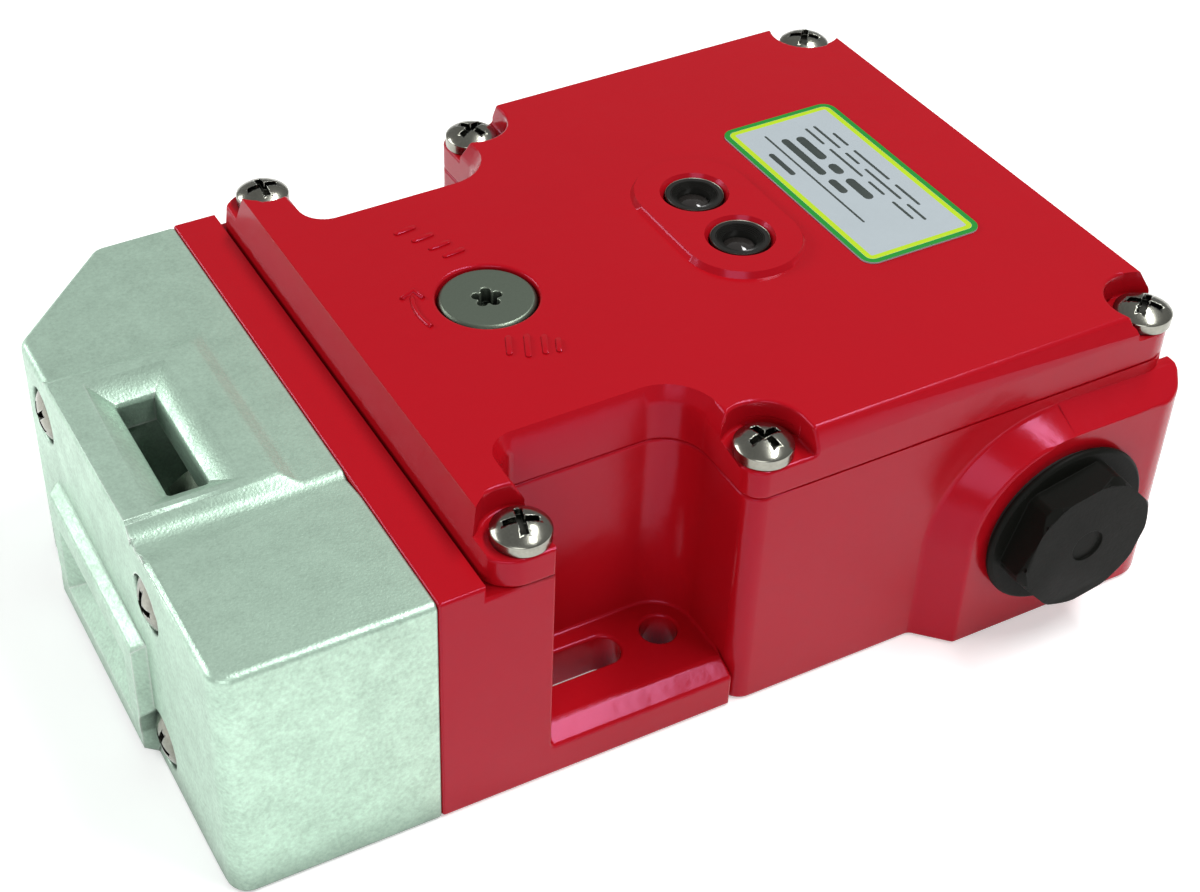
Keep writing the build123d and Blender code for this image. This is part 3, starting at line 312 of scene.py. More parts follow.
def math_node(nodes, links, operation, first, second):
    """A math node whose inputs are sockets or numbers."""
    maths = nodes.new("ShaderNodeMath")
    maths.operation = operation
    for socket, value in zip(maths.inputs, (first, second)):
        if isinstance(value, bpy.types.NodeSocket):
            links.new(value, socket)
        else:
            socket.default_value = value
    return maths.outputs[0]


def mottle_group():
    """Two colours mixed by coarse and fine noise."""
    group, start, end = node_group(
        "Mottle",
        [("Light", "NodeSocketColor", (1, 1, 1, 1)), ("Dark", "NodeSocketColor", (0, 0, 0, 1)),
         ("Coarse Scale", "NodeSocketFloat", 80.0), ("Fine Scale", "NodeSocketFloat", 900.0),
         ("Fine Share", "NodeSocketFloat", 0.4), ("Contrast", "NodeSocketFloat", 1.0)],
        [("Color", "NodeSocketColor"), ("Value", "NodeSocketFloat")])
    nodes, links = group.nodes, group.links
    place = nodes.new("ShaderNodeTexCoord").outputs["Object"]
    coarse, fine = noise(nodes, 4.0, 0.6), noise(nodes, 3.0, 0.6)
    for texture, scale in ((coarse, "Coarse Scale"), (fine, "Fine Scale")):
        links.new(place, texture.inputs["Vector"])
        links.new(start.outputs[scale], texture.inputs["Scale"])
    mix = nodes.new("ShaderNodeMix")
    links.new(start.outputs["Fine Share"], mix.inputs[0])
    links.new(coarse.outputs[0], mix.inputs[2])
    links.new(fine.outputs[0], mix.inputs[3])
    centred = math_node(nodes, links, "SUBTRACT", mix.outputs[0], 0.5)
    spread = math_node(nodes, links, "MULTIPLY", centred, start.outputs["Contrast"])
    value = math_node(nodes, links, "ADD", spread, 0.5)
    clamp = nodes.new("ShaderNodeClamp")
    links.new(value, clamp.inputs[0])
    blend = nodes.new("ShaderNodeMix")
    blend.data_type = "RGBA"
    links.new(clamp.outputs[0], blend.inputs[0])
    links.new(start.outputs["Dark"], blend.inputs[6])
    links.new(start.outputs["Light"], blend.inputs[7])
    links.new(blend.outputs[2], end.inputs["Color"])
    links.new(clamp.outputs[0], end.inputs["Value"])
    return group


def grain_group():
    """Height of a fine skin: noise at two scales and small pits."""
    group, start, end = node_group(
        "Grain",
        [("Scale", "NodeSocketFloat", 1500.0), ("Swell Scale", "NodeSocketFloat", 120.0),
         ("Swell", "NodeSocketFloat", 0.5), ("Pits", "NodeSocketFloat", 0.3)],
        [("Height", "NodeSocketFloat")])
    nodes, links = group.nodes, group.links
    place = nodes.new("ShaderNodeTexCoord").outputs["Object"]
    fine, swell = noise(nodes, 3.0), noise(nodes, 2.0)
    pits = nodes.new("ShaderNodeTexVoronoi")
    for texture, scale in ((fine, "Scale"), (swell, "Swell Scale"), (pits, "Scale")):
        links.new(place, texture.inputs["Vector"])
        links.new(start.outputs[scale], texture.inputs["Scale"])
    broad = math_node(nodes, links, "MULTIPLY", swell.outputs[0], start.outputs["Swell"])
    sunk = math_node(nodes, links, "MULTIPLY", pits.outputs["Distance"], start.outputs["Pits"])
    total = math_node(nodes, links, "ADD", fine.outputs[0], broad)
    total = math_node(nodes, links, "ADD", total, sunk)
    links.new(total, end.inputs["Height"])
    return group


def recess_group():
    """Mask for painted shade: one in narrow recesses and nought on open surfaces."""
    group, start, end = node_group(
        "Recess Shade", [("Reach", "NodeSocketFloat", 0.002), ("Strength", "NodeSocketFloat", 1.0)],
        [("Mask", "NodeSocketFloat")])
    nodes, links = group.nodes, group.links
    shade = nodes.new("ShaderNodeAmbientOcclusion")
    shade.samples = 8
    links.new(start.outputs["Reach"], shade.inputs["Distance"])
    closed = math_node(nodes, links, "SUBTRACT", 1.0, shade.outputs["AO"])
    strong = math_node(nodes, links, "MULTIPLY", closed, start.outputs["Strength"])
    clamp = nodes.new("ShaderNodeClamp")
    links.new(strong, clamp.inputs[0])
    links.new(clamp.outputs[0], end.inputs["Mask"])
    return group


def edge_wear_and_highlight_group():
    """Mask that is one along rounded-over edges, broken up by noise: the wear on them and a painted
    highlight.
    """
    group, start, end = node_group(
        "Edge Wear", [("Radius", "NodeSocketFloat", 0.0006), ("Strength", "NodeSocketFloat", 3.0),
                      ("Break Scale", "NodeSocketFloat", 500.0)], [("Mask", "NodeSocketFloat")])
    nodes, links = group.nodes, group.links
    soft = nodes.new("ShaderNodeBevel")
    soft.samples = 6
    links.new(start.outputs["Radius"], soft.inputs["Radius"])
    true = nodes.new("ShaderNodeNewGeometry").outputs["Normal"]
    dot = nodes.new("ShaderNodeVectorMath")
    dot.operation = "DOT_PRODUCT"
    links.new(soft.outputs[0], dot.inputs[0])
    links.new(true, dot.inputs[1])
    bent = math_node(nodes, links, "SUBTRACT", 1.0, dot.outputs["Value"])
    strong = math_node(nodes, links, "MULTIPLY", bent, start.outputs["Strength"])
    broken = noise(nodes, 3.0)
    links.new(nodes.new("ShaderNodeTexCoord").outputs["Object"], broken.inputs["Vector"])
    links.new(start.outputs["Break Scale"], broken.inputs["Scale"])
    lifted = math_node(nodes, links, "ADD", broken.outputs[0], LEAST_WEAR_AND_HIGHLIGHT)
    total = math_node(nodes, links, "MULTIPLY", strong, lifted)
    clamp = nodes.new("ShaderNodeClamp")
    links.new(total, clamp.inputs[0])
    links.new(clamp.outputs[0], end.inputs["Mask"])
    return group


def shared_group(build):
    """The node group that a function builds, built only once."""
    if build.__name__ not in GROUPS:
        GROUPS[build.__name__] = build()
    return GROUPS[build.__name__]


def rgba(value, factor=1.0):
    """A property's colour as four numbers, made lighter or darker."""
    return [min(1.0, part * factor) for part in value] + [1.0]


def blend_over(nodes, links, under, mask, colour_over):
    """A colour laid over another where a mask is one."""
    mix = nodes.new("ShaderNodeMix")
    mix.data_type = "RGBA"
    mix.inputs[7].default_value = colour_over
    links.new(mask, mix.inputs[0])
    links.new(under, mix.inputs[6])
    return mix.outputs[2]


def placed_group(nodes, build, values):
    """A shared group placed in a material with its own values."""
    placed = nodes.new("ShaderNodeGroup")
    placed.node_tree = shared_group(build)
    for key, value in values.items():
        placed.inputs[key].default_value = value
    return placed


def finish(name, tone, metallic=0.0, roughness=0.4, spread=0.1, contrast=1.0, coarse=80.0, fine=900.0,
           fine_share=0.4, dark=0.8, grain=1500.0, swell=0.4, swell_scale=120.0, pits=0.2, bump=0.05,
           depth=0.0001, coat=0.0, specular=0.5, tint=(1, 1, 1), shade=0.0, shade_reach=0.002, shade_darkness=0.12,
           edge=None, edge_radius=0.0006, edge_strength=4.0):
    """A material with mottled colour, uneven roughness, a grained skin, painted shade in recesses and rubbed
    edges lightened partly as painted highlight.
    """
    if name in MATERIALS:
        return MATERIALS[name]
    material = bpy.data.materials.new(name)
    material.use_nodes = True
    nodes, links = material.node_tree.nodes, material.node_tree.links
    shader = nodes["Principled BSDF"]
    for key, value in (("Metallic", metallic), ("Coat Weight", coat), ("Coat Roughness", COAT_ROUGHNESS),
                       ("Specular IOR Level", specular), ("Specular Tint", rgba(tint))):
        shader.inputs[key].default_value = value
    mottle = placed_group(nodes, mottle_group, {
        "Light": rgba(tone), "Dark": rgba(tone, dark), "Coarse Scale": coarse, "Fine Scale": fine,
        "Fine Share": fine_share, "Contrast": contrast})
    result = mottle.outputs["Color"]
    # Lighter rounded edges: part wear, part painted highlight.
    if edge:
        rubbed = placed_group(nodes, edge_wear_and_highlight_group, {"Radius": edge_radius, "Strength": edge_strength})
        result = blend_over(nodes, links, result, rubbed.outputs["Mask"], rgba(edge))
    # Painted shade: where ambient occlusion finds a narrow recess, the colour is mixed towards a darker copy
    # of its tone.
    if shade > 0:
        recess = placed_group(nodes, recess_group, {"Reach": shade_reach, "Strength": shade})
        result = blend_over(nodes, links, result, recess.outputs["Mask"], rgba(tone, shade_darkness))
    links.new(result, shader.inputs["Base Color"])
    span = nodes.new("ShaderNodeMapRange")
    span.inputs["To Min"].default_value = roughness + spread / 2
    span.inputs["To Max"].default_value = max(LEAST_ROUGHNESS, roughness - spread / 2)
    links.new(mottle.outputs["Value"], span.inputs["Value"])
    links.new(span.outputs[0], shader.inputs["Roughness"])
    skin = placed_group(nodes, grain_group, {"Scale": grain, "Swell Scale": swell_scale, "Swell": swell,
                                             "Pits": pits})
    height = nodes.new("ShaderNodeBump")
    height.inputs["Strength"].default_value = bump
    height.inputs["Distance"].default_value = depth
    links.new(skin.outputs["Height"], height.inputs["Height"])
    links.new(height.outputs["Normal"], shader.inputs["Normal"])
    MATERIALS[name] = material
    return material


# Finishes

def tones():
    """The finishes' colours."""
    return bpy.context.scene.switch_finishes


def sizes():
    """The detail's sizes."""
    return bpy.context.scene.switch_sizes


def enamel():
    """Glossy red enamel with the casting's slight swell under it."""
    return finish("Red enamel", tones().enamel, roughness=0.20, spread=0.08, dark=0.90, coarse=60, fine=700,
                  grain=420, swell=1.6, swell_scale=130, pits=0.0, bump=0.3, depth=0.00014, specular=0.3,
                  tint=(1.0, 0.4, 0.75))


def alloy():
    """Blasted die casting, mottled grey-green, with painted shade in its recesses and lighter edges that are
    part wear, part painted highlight.
    """
    return finish("Blasted alloy", tones().alloy, metallic=0.6, roughness=0.42, spread=0.18, dark=0.58,
                  contrast=2.2, coarse=210, fine=1900, fine_share=0.55, grain=2600, swell=0.5, pits=0.35,
                  bump=0.6, depth=0.00007, shade=1.2, shade_reach=0.007, shade_darkness=0.15, edge=tones().alloy_edge_and_highlight,
                  edge_radius=0.0007, edge_strength=5.0)


def screw():
    """Plated screw steel, with painted shade darkening its recess and lighter edges that are part wear, part
    painted highlight.
    """
    return finish("Screw steel", tones().screw, metallic=1.0, roughness=0.22, spread=0.16, dark=0.55,
                  contrast=2.0, coarse=420, fine=2200, bump=0.10, shade=1.6, shade_reach=0.0018,
                  edge=tones().alloy_edge_and_highlight, edge_radius=0.00025, edge_strength=3.0)


def plated():
    """Bright plated steel, with painted shade in its recesses."""
    return finish("Plated steel", tones().plated, metallic=1.0, roughness=0.24, spread=0.14, dark=0.7,
                  contrast=1.4, coarse=300, fine=2000, bump=0.08, shade=1.1, shade_reach=0.0015)


def ground():
    """Ground steel."""
    return finish("Ground steel", tones().ground, metallic=1.0, roughness=0.2, spread=0.1, dark=0.85,
                  coarse=200, fine=2500, bump=0.04)


def satin():
    """Turned steel with a satin face, painted shade in its recesses and lighter edges that are part wear,
    part painted highlight.
    """
    return finish("Satin steel", tones().satin, metallic=0.85, roughness=0.38, spread=0.14, dark=0.74,
                  contrast=1.8, coarse=300, fine=1800, grain=3000, bump=0.2, shade=1.6, shade_reach=0.0016,
                  edge=(0.75, 0.78, 0.66), edge_radius=0.0004, edge_strength=3.0)


def bronze():
    """Sintered bronze."""
    return finish("Sintered bronze", tones().bronze, metallic=1.0, roughness=0.42, fine=2600, contrast=2.0,
                  grain=3500, pits=0.6, bump=0.25)


def brass():
    """Bright brass."""
    return finish("Brass", tones().brass, metallic=1.0, roughness=0.26, contrast=1.3, bump=0.05)


def copper():
    """Enamelled copper wire."""
    return finish("Copper wire", tones().copper, metallic=1.0, roughness=0.28, contrast=1.2, bump=0.1)


def rubber():
    """Dull rubber."""
    return finish("Rubber", tones().rubber, roughness=0.62, dark=0.6, contrast=1.6, grain=2200, bump=0.2)


def black():
    """Black moulding with a fine grain."""
    return finish("Black moulding", tones().black, roughness=0.5, spread=0.14, dark=0.6, contrast=1.4,
                  grain=1800, swell=0.5, bump=0.2, specular=0.07)


def lamp_black():
    """Black moulding of the lamp rings, with a little gloss on its steps."""
    return finish("Lamp ring black", tones().lamp_black, roughness=0.3, spread=0.1, dark=0.6, contrast=1.4,
                  grain=1800, swell=0.5, bump=0.1, specular=0.3)


def cream():
    """Cream moulding, with a little painted shade in its recesses."""
    return finish("Cream moulding", tones().cream, roughness=0.42, dark=0.9, grain=1600, bump=0.12,
                  shade=0.3)


def board():
    """Printed board."""
    return finish("Board", tones().board, roughness=0.3, dark=0.7, contrast=1.6, bump=0.06)


def lens():
    """Dark clear lens."""
    return finish("Lens", tones().lens, roughness=0.10, spread=0.06, dark=0.6, bump=0.03, coat=0.3)


def foil():
    """Printed foil."""
    return finish("Foil", tones().foil, metallic=0.1, roughness=0.42, spread=0.1, dark=0.88, coarse=150,
                  bump=0.04, specular=0.3)


def rim_inner():
    """Inner line round the label."""
    return finish("Label inner line", tones().rim_inner, roughness=0.4, dark=0.85, bump=0.03, specular=0.3)


def rim_outer():
    """Outer line round the label."""
    return finish("Label outer line", tones().rim_outer, roughness=0.4, dark=0.8, bump=0.03, specular=0.3)


def ink():
    """Dark print."""
    return finish("Print", tones().ink, roughness=0.45, dark=0.6, contrast=2.0, fine=2600, bump=0.02,
                  specular=0.3)


# Mesh helpers

def node(name):
    """A CAD node's object."""
    return frame["nodes"][name]


def body_of(name):
    """The body that a CAD node rides on."""
    return node(name)["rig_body"]


def new_object(name, mesh, material):
    """A mesh object with one material, linked to the scene."""
    piece = bpy.data.objects.new(name, mesh)
    bpy.context.scene.collection.objects.link(piece)
    mesh.materials.clear()
    mesh.materials.append(material)
    return piece


def apply_modifiers(piece):
    """Puts the result of a piece's modifiers into its mesh."""
    depsgraph = bpy.context.evaluated_depsgraph_get()
    mesh = bpy.data.meshes.new_from_object(piece.evaluated_get(depsgraph))
    old = piece.data
    piece.modifiers.clear()
    piece.data = mesh
    bpy.data.meshes.remove(old)


def shade_by_angle(mesh, angle):
    """Smooth faces with sharp creases where they meet at more than an angle in degrees."""
    mesh.shade_smooth()
    mesh.set_sharp_from_angle(angle=radians(angle))


def distance_to_edge(start, end, place):
    """Distance of a place from the straight piece between two points."""
    point, along = intersect_point_line(place, start, end)
    if along < 0:
        point = start
    elif along > 1:
        point = end
    return (point - place).length


def room_beside(edge, face):
    """How far a face reaches from the line of its edge."""
    start, end = edge.verts[0].co, edge.verts[1].co
    along = (end - start).normalized()
    return max(((vert.co - start) - along * (vert.co - start).dot(along)).length for vert in face.verts)


def roomy_edges(work, width, bend, kept_sharp):
    """Edges to round: they bend past an angle, have room on both sides and lie away from some places."""
    picked = set()
    for edge in work.edges:
        if len(edge.link_faces) != 2 or edge.calc_face_angle(0) < radians(bend):
            continue
        room = min(room_beside(edge, face) for face in edge.link_faces)
        near = any(distance_to_edge(edge.verts[0].co, edge.verts[1].co, place) < reach
                   for place, reach in kept_sharp)
        if room > ROOM_NEEDED * width and not near:
            picked.add(edge)
    shortest = SHORTEST_NEIGHBOUR * width
    tight = {vert for edge in picked for vert in edge.verts
             if any(other not in picked and other.calc_length() < shortest for other in vert.link_edges)}
    free = (edge for edge in picked if not tight.intersection(edge.verts))
    return sorted(free, key=lambda edge: edge.index)


def rounding_faults(work, skin, middles, width):
    """Places where a rounded mesh leaves its old skin, is open, folds over or misses an old face's middle."""
    work.normal_update()
    fresh = BVHTree.FromBMesh(work)
    stray = FARTHEST_STRAY * width
    faults = [vert.co.copy() for vert in work.verts if skin.find_nearest(vert.co)[3] > stray]
    faults += [edge.verts[0].co.copy() for edge in work.edges if len(edge.link_faces) != 2]
    faults += [middle for middle in middles if fresh.find_nearest(middle)[3] > stray]
    for loops in work.calc_loop_triangles():
        first, second, third = (loop.vert.co for loop in loops)
        across = (second - first).cross(third - first)
        facing = across.dot(loops[0].face.normal)
        if across.length > SMALLEST_FOLD and facing < FOLDED_COSINE * across.length:
            faults.append((first + second + third) / 3)
    return faults


def triangle_middles(work):
    """The middle of each triangle of a mesh."""
    return [sum((loop.vert.co for loop in loops), Vector()) / 3 for loops in work.calc_loop_triangles()]


def rounded(name, material, width, steps=SOLID_STEPS, bend=SOLID_BEND, crease=SOLID_CREASE):
    """A copy of a CAD node, rounded where it bends past an angle, which stands for the node.

    Where the rounding goes wrong it is done again from the start, with the edges near that place left sharp.
    """
    mesh = node(name).data.copy()
    kept_sharp = []
    for attempt in range(ROUNDING_TRIES):
        work = bmesh.new()
        work.from_mesh(node(name).data)
        bmesh.ops.remove_doubles(work, verts=work.verts, dist=SAME_POINT)
        skin = BVHTree.FromBMesh(work)
        middles = triangle_middles(work)
        bmesh.ops.dissolve_limit(work, angle_limit=radians(FLAT_BEND), verts=work.verts, edges=work.edges)
        edges = roomy_edges(work, width, bend, kept_sharp)
        bmesh.ops.bevel(work, geom=edges, offset=width, offset_type="OFFSET", segments=steps, profile=0.5,
                        affect="EDGES", clamp_overlap=False, miter_outer="ARC")
        faults = rounding_faults(work, skin, middles, width)
        if not faults:
            break
        kept_sharp += [(place, (SHARP_REACH + attempt) * width) for place in faults]
    work.to_mesh(mesh)
    work.free()
    shade_by_angle(mesh, crease)
    piece = new_object(f"{name}_finished", mesh, material)
    normals = piece.modifiers.new("Normals", "WEIGHTED_NORMAL")
    normals.mode = "FACE_AREA"
    normals.weight = 100
    normals.keep_sharp = True
    apply_modifiers(piece)
    stand_for(piece, name)


def rounded_casting(name, material):
    """A casting with its edges rounded in several steps, which stands for its CAD node."""
    rounded(name, material, sizes().casting_edge, CASTING_STEPS, crease=CASTING_CREASE)


def rounded_finely(name, material):
    """A small piece with finely rounded edges, which stands for its CAD node."""
    rounded(name, material, sizes().machined_edge, bend=FINE_BEND)


def stand_for(piece, name):
    """Puts a piece on a CAD node's body and shows it in the node's place."""
    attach(piece, body_of(name))
    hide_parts(name)


def add_to(name, piece):
    """Puts a piece that has no node of its own on a CAD node's body."""
    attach(piece, body_of(name))


def dress(names, material):
    """Gives CAD nodes a material."""
    for name in names:
        data = node(name).data
        data.materials.clear()
        data.materials.append(material)


def mesh_from(name, work):
    """A mesh made from its working copy, which is freed."""
    mesh = bpy.data.meshes.new(name)
    work.to_mesh(mesh)
    work.free()
    return mesh


def ribbon(name, points, width, height, material, closed=False):
    """A raised line with rounded shoulders along points of a level surface."""
    work = bmesh.new()
    rows = []
    count = len(points)
    for i, point in enumerate(points):
        before = points[i - 1] if (i > 0 or closed) else point
        after = points[(i + 1) % count] if (i < count - 1 or closed) else point
        along = (Vector(after) - Vector(before)).normalized()
        across = Vector((-along.y, along.x, 0))
        rows.append([work.verts.new(Vector(point) + across * width * aside + Vector((0, 0, height * up)))
                     for aside, up in RIBBON_SECTION])
    following = rows[1:] + rows[:1] if closed else rows[1:]
    for first, second in zip(rows, following):
        for j in range(len(RIBBON_SECTION) - 1):
            work.faces.new((first[j], second[j], second[j + 1], first[j + 1])).smooth = True
    if not closed:
        work.faces.new(rows[0])
        work.faces.new(rows[-1][::-1])
    bmesh.ops.recalc_face_normals(work, faces=work.faces)
    return new_object(name, mesh_from(name, work), material)


def turned(name, profile, material, origin, direction=(0, 0, 1), sides=ROUND_SIDES, start=0, span=360):
    """A turned piece: a profile of radii and heights swept round a line, or part of the way round it."""
    work = bmesh.new()
    rows = []
    columns = sides if span == 360 else sides + 1
    angles = [radians(start + span * i / sides) for i in range(columns)]
    for radius, height in profile:
        spokes = angles if radius > 0 else angles[:1]
        rows.append([work.verts.new((radius * cos(angle), radius * sin(angle), height)) for angle in spokes])
    if span < 360:
        work.faces.new([row[0] for row in rows[:-1]])
        work.faces.new([row[-1] for row in rows[:-1]])
    for first, second in zip(rows, rows[1:]):
        for i in range(sides):
            j = (i + 1) % columns
            around = (first[i % len(first)], first[j % len(first)],
                      second[j % len(second)], second[i % len(second)])
            corners = list(dict.fromkeys(around))
            if len(corners) > 2:
                work.faces.new(corners)
    bmesh.ops.remove_doubles(work, verts=work.verts, dist=SAME_TURNED_POINT)
    bmesh.ops.recalc_face_normals(work, faces=work.faces)
    place = Vector((0, 0, 1)).rotation_difference(Vector(direction)).to_matrix().to_4x4()
    place.translation = Vector(origin)
    work.transform(place)
    mesh = mesh_from(name, work)
    shade_by_angle(mesh, TURNED_CREASE)
    return new_object(name, mesh, material)


def rotated(x, y, turn):
    """A level point turned about the origin, with the turn in radians."""
    return x * cos(turn) - y * sin(turn), x * sin(turn) + y * cos(turn)


def bars(name, places, height, material):
    """Low bars with rounded ends on a level surface; each place is a centre, a length, a width and a turn."""
    work = bmesh.new()
    for centre, long_side, width, turn in places:
        half = max(long_side - width, 0) / 2
        rim = [(half + x, y) for x, y, z in arc_points((0, 0, 0), width / 2, -90, 90, BAR_END_STEPS)]
        rim += [(-x, -y) for x, y in rim]
        rows = []
        for inset, level in BAR_SECTION:
            scale = 1 - 2 * inset * height / width
            shift = Vector(centre) + Vector((0, 0, level * height))
            rows.append([work.verts.new(shift + Vector((*rotated(x * scale, y * scale, turn), 0)))
                         for x, y in rim])
        for first, second in zip(rows, rows[1:]):
            for i in range(len(rim)):
                j = (i + 1) % len(rim)
                work.faces.new((first[i], first[j], second[j], second[i]))
        work.faces.new(rows[-1])
        work.faces.new(rows[0][::-1])
    mesh = mesh_from(name, work)
    shade_by_angle(mesh, BAR_CREASE)
    return new_object(name, mesh, material)


def joined(name, pieces):
    """One object from several that share their material."""
    work = bmesh.new()
    for piece in pieces:
        work.from_mesh(piece.data)
    mesh = mesh_from(name, work)
    shade_by_angle(mesh, TURNED_CREASE)
    material = pieces[0].data.materials[0]
    for piece in pieces:
        bpy.data.objects.remove(piece)
    return new_object(name, mesh, material)


def box_round(places):
    """The lowest and highest corner of the box round some places."""
    return [Vector([pick(place[i] for place in places) for i in range(3)]) for pick in (min, max)]


def box_of(name):
    """The lowest and highest corner of a CAD node."""
    return box_round([node(name).matrix_world @ vertex.co for vertex in node(name).data.vertices])


def solids_of(name):
    """The boxes of a CAD node's separate solids, each as its lowest and highest corner."""
    work = bmesh.new()
    work.from_mesh(node(name).data)
    bmesh.ops.remove_doubles(work, verts=work.verts, dist=SAME_POINT)
    left = set(work.verts)
    boxes = []
    for first in work.verts:
        if first not in left:
            continue
        left.remove(first)
        queue = [first]
        found = []
        while queue:
            vertex = queue.pop()
            found.append(node(name).matrix_world @ vertex.co)
            for edge in vertex.link_edges:
                other = edge.other_vert(vertex)
                if other in left:
                    left.remove(other)
                    queue.append(other)
        boxes.append(box_round(found))
    work.free()
    return boxes


def arc_point(centre, radius, angle):
    """The point of a level circle at an angle in degrees."""
    return (centre[0] + radius * cos(radians(angle)), centre[1] + radius * sin(radians(angle)), centre[2])


def arc_points(centre, radius, start, end, steps):
    """Points along a level arc, angles in degrees."""
    return [arc_point(centre, radius, start + (end - start) * i / steps) for i in range(steps + 1)]


def foot_of(low, high):
    """The middle of a box's lower face."""
    return ((low.x + high.x) / 2, (low.y + high.y) / 2, low.z)


class SWITCH_OT_head(Operator):
    """Blasted head with rounded edges and its seal"""
    bl_idname = "guard_switch.head"
    bl_label = "Head"

    def execute(self, context):
        rounded_casting("head_housing", alloy())
        dress(["head_gasket"], rubber())
        return {"FINISHED"}


class SWITCH_OT_base(Operator):
    """Enamelled base with rounded edges, its seal and the thread of the open cable entry"""
    bl_idname = "guard_switch.base"
    bl_label = "Base"

    def execute(self, context):
        rounded_casting("base_housing", enamel())
        dress(["lid_gasket"], rubber())
        self.thread()
        return {"FINISHED"}

    def thread(self):
        """Bare ridges inside the cable entry of the terminal end."""
        mount = next(item for item in frame["record"]["mounts"] if item["name"] == "end_cable_entry")
        radius, reach = mount["dims"]["r_mm"] * MM, mount["dims"]["length_mm"] * MM
        pitch, depth = sizes().thread_pitch, sizes().thread_depth
        outer = box_of("base_housing")[1].x - pitch / 2
        turns = int(reach / pitch)
        profile = []
        for turn in range(turns):
            low = -turn * pitch
            profile += [(radius, low), (radius - depth, low - CREST_START * pitch),
                        (radius - depth, low - CREST_END * pitch)]
        profile.append((radius, -turns * pitch))
        mouth = (outer, mount["pos_m"][1], mount["pos_m"][2])
        piece = turned("cable_entry_thread", profile, alloy(), mouth, (1, 0, 0), THREAD_SIDES)
        add_to("base_housing", piece)


class SWITCH_OT_lid(Operator):
    """Enamelled lid with rounded edges and plain raised marks round the release"""
    bl_idname = "guard_switch.lid"
    bl_label = "Lid"

    def execute(self, context):
        rounded_casting("lid", enamel())
        low, high = box_of("release_spindle")
        lid_top = high.z + DISC_BELOW_LID
        middle = ((low.x + high.x) / 2, (low.y + high.y) / 2, lid_top)
        self.turn_arrow(middle)
        self.end_marks(middle)
        self.recess_backs(lid_top)
        return {"FINISHED"}

    def recess_backs(self, lid_top):
        """Walls that close the middle and end screws' recesses towards the lid's hollow."""
        screws = solids_of("lid_screws")
        first, last = min(low.x for low, high in screws), max(low.x for low, high in screws)
        pieces = []
        for low, high in screws:
            if low.x < first + MM:
                continue
            centre = (low + high) / 2
            hollow = HOLLOW_FROM_END if low.x > last - MM else HOLLOW_FROM_MIDDLE
            hollow *= -1 if centre.y > 0 else 1
            bottom, top = high.z - RECESS_FOOT, lid_top - RECESS_TOP
            inner, outer = RECESS_RADIUS, RECESS_RADIUS + RECESS_WALL
            profile = [(inner, bottom), (outer, bottom), (outer, top), (inner, top), (inner, bottom)]
            pieces.append(turned("recess_back", profile, enamel(), (centre.x, centre.y, 0),
                                 sides=RECESS_SIDES, start=hollow - RECESS_SPAN / 2, span=RECESS_SPAN))
        add_to("lid", joined("lid_recess_backs", pieces))

    def turn_arrow(self, middle):
        """Raised arc with an arrowhead beside the release screw."""
        arc = arc_points(middle, ARROW_RADIUS, ARROW_START, ARROW_END, ARROW_STEPS)
        head = [arc_point(middle, ARROW_RADIUS - BARB_SPREAD, BARB_ANGLE),
                arc_point(middle, ARROW_RADIUS, ARROW_TIP),
                arc_point(middle, ARROW_RADIUS + BARB_SPREAD, BARB_ANGLE)]
        for name, points in (("release_arc", arc), ("release_arrow", head)):
            add_to("lid", ribbon(name, points, sizes().relief_line, sizes().relief, enamel()))

    def end_marks(self, middle):
        """Raised bars at the two ends of the release screw's turn."""
        line = sizes().relief_line
        places = [((middle[0] + x * MM, middle[1] + y * MM, middle[2]), long_side * MM, line, turn)
                  for turn, row in END_BARS for x, y, long_side in row]
        add_to("lid", bars("release_end_marks", places, sizes().relief, enamel()))


class SWITCH_OT_screws(Operator):
    """Pan-head screws of the lid and head"""
    bl_idname = "guard_switch.screws"
    bl_label = "Screws"

    def execute(self, context):
        rounded_finely("lid_screws", screw())
        rounded_finely("head_screws", screw())
        return {"FINISHED"}


class SWITCH_OT_release(Operator):
    """Release screw, its seal, clip and cam"""
    bl_idname = "guard_switch.release"
    bl_label = "Release screw"

    def execute(self, context):
        rounded_finely("release_spindle", satin())
        dress(["release_seal"], rubber())
        dress(["release_clip", "release_cam"], plated())
        return {"FINISHED"}


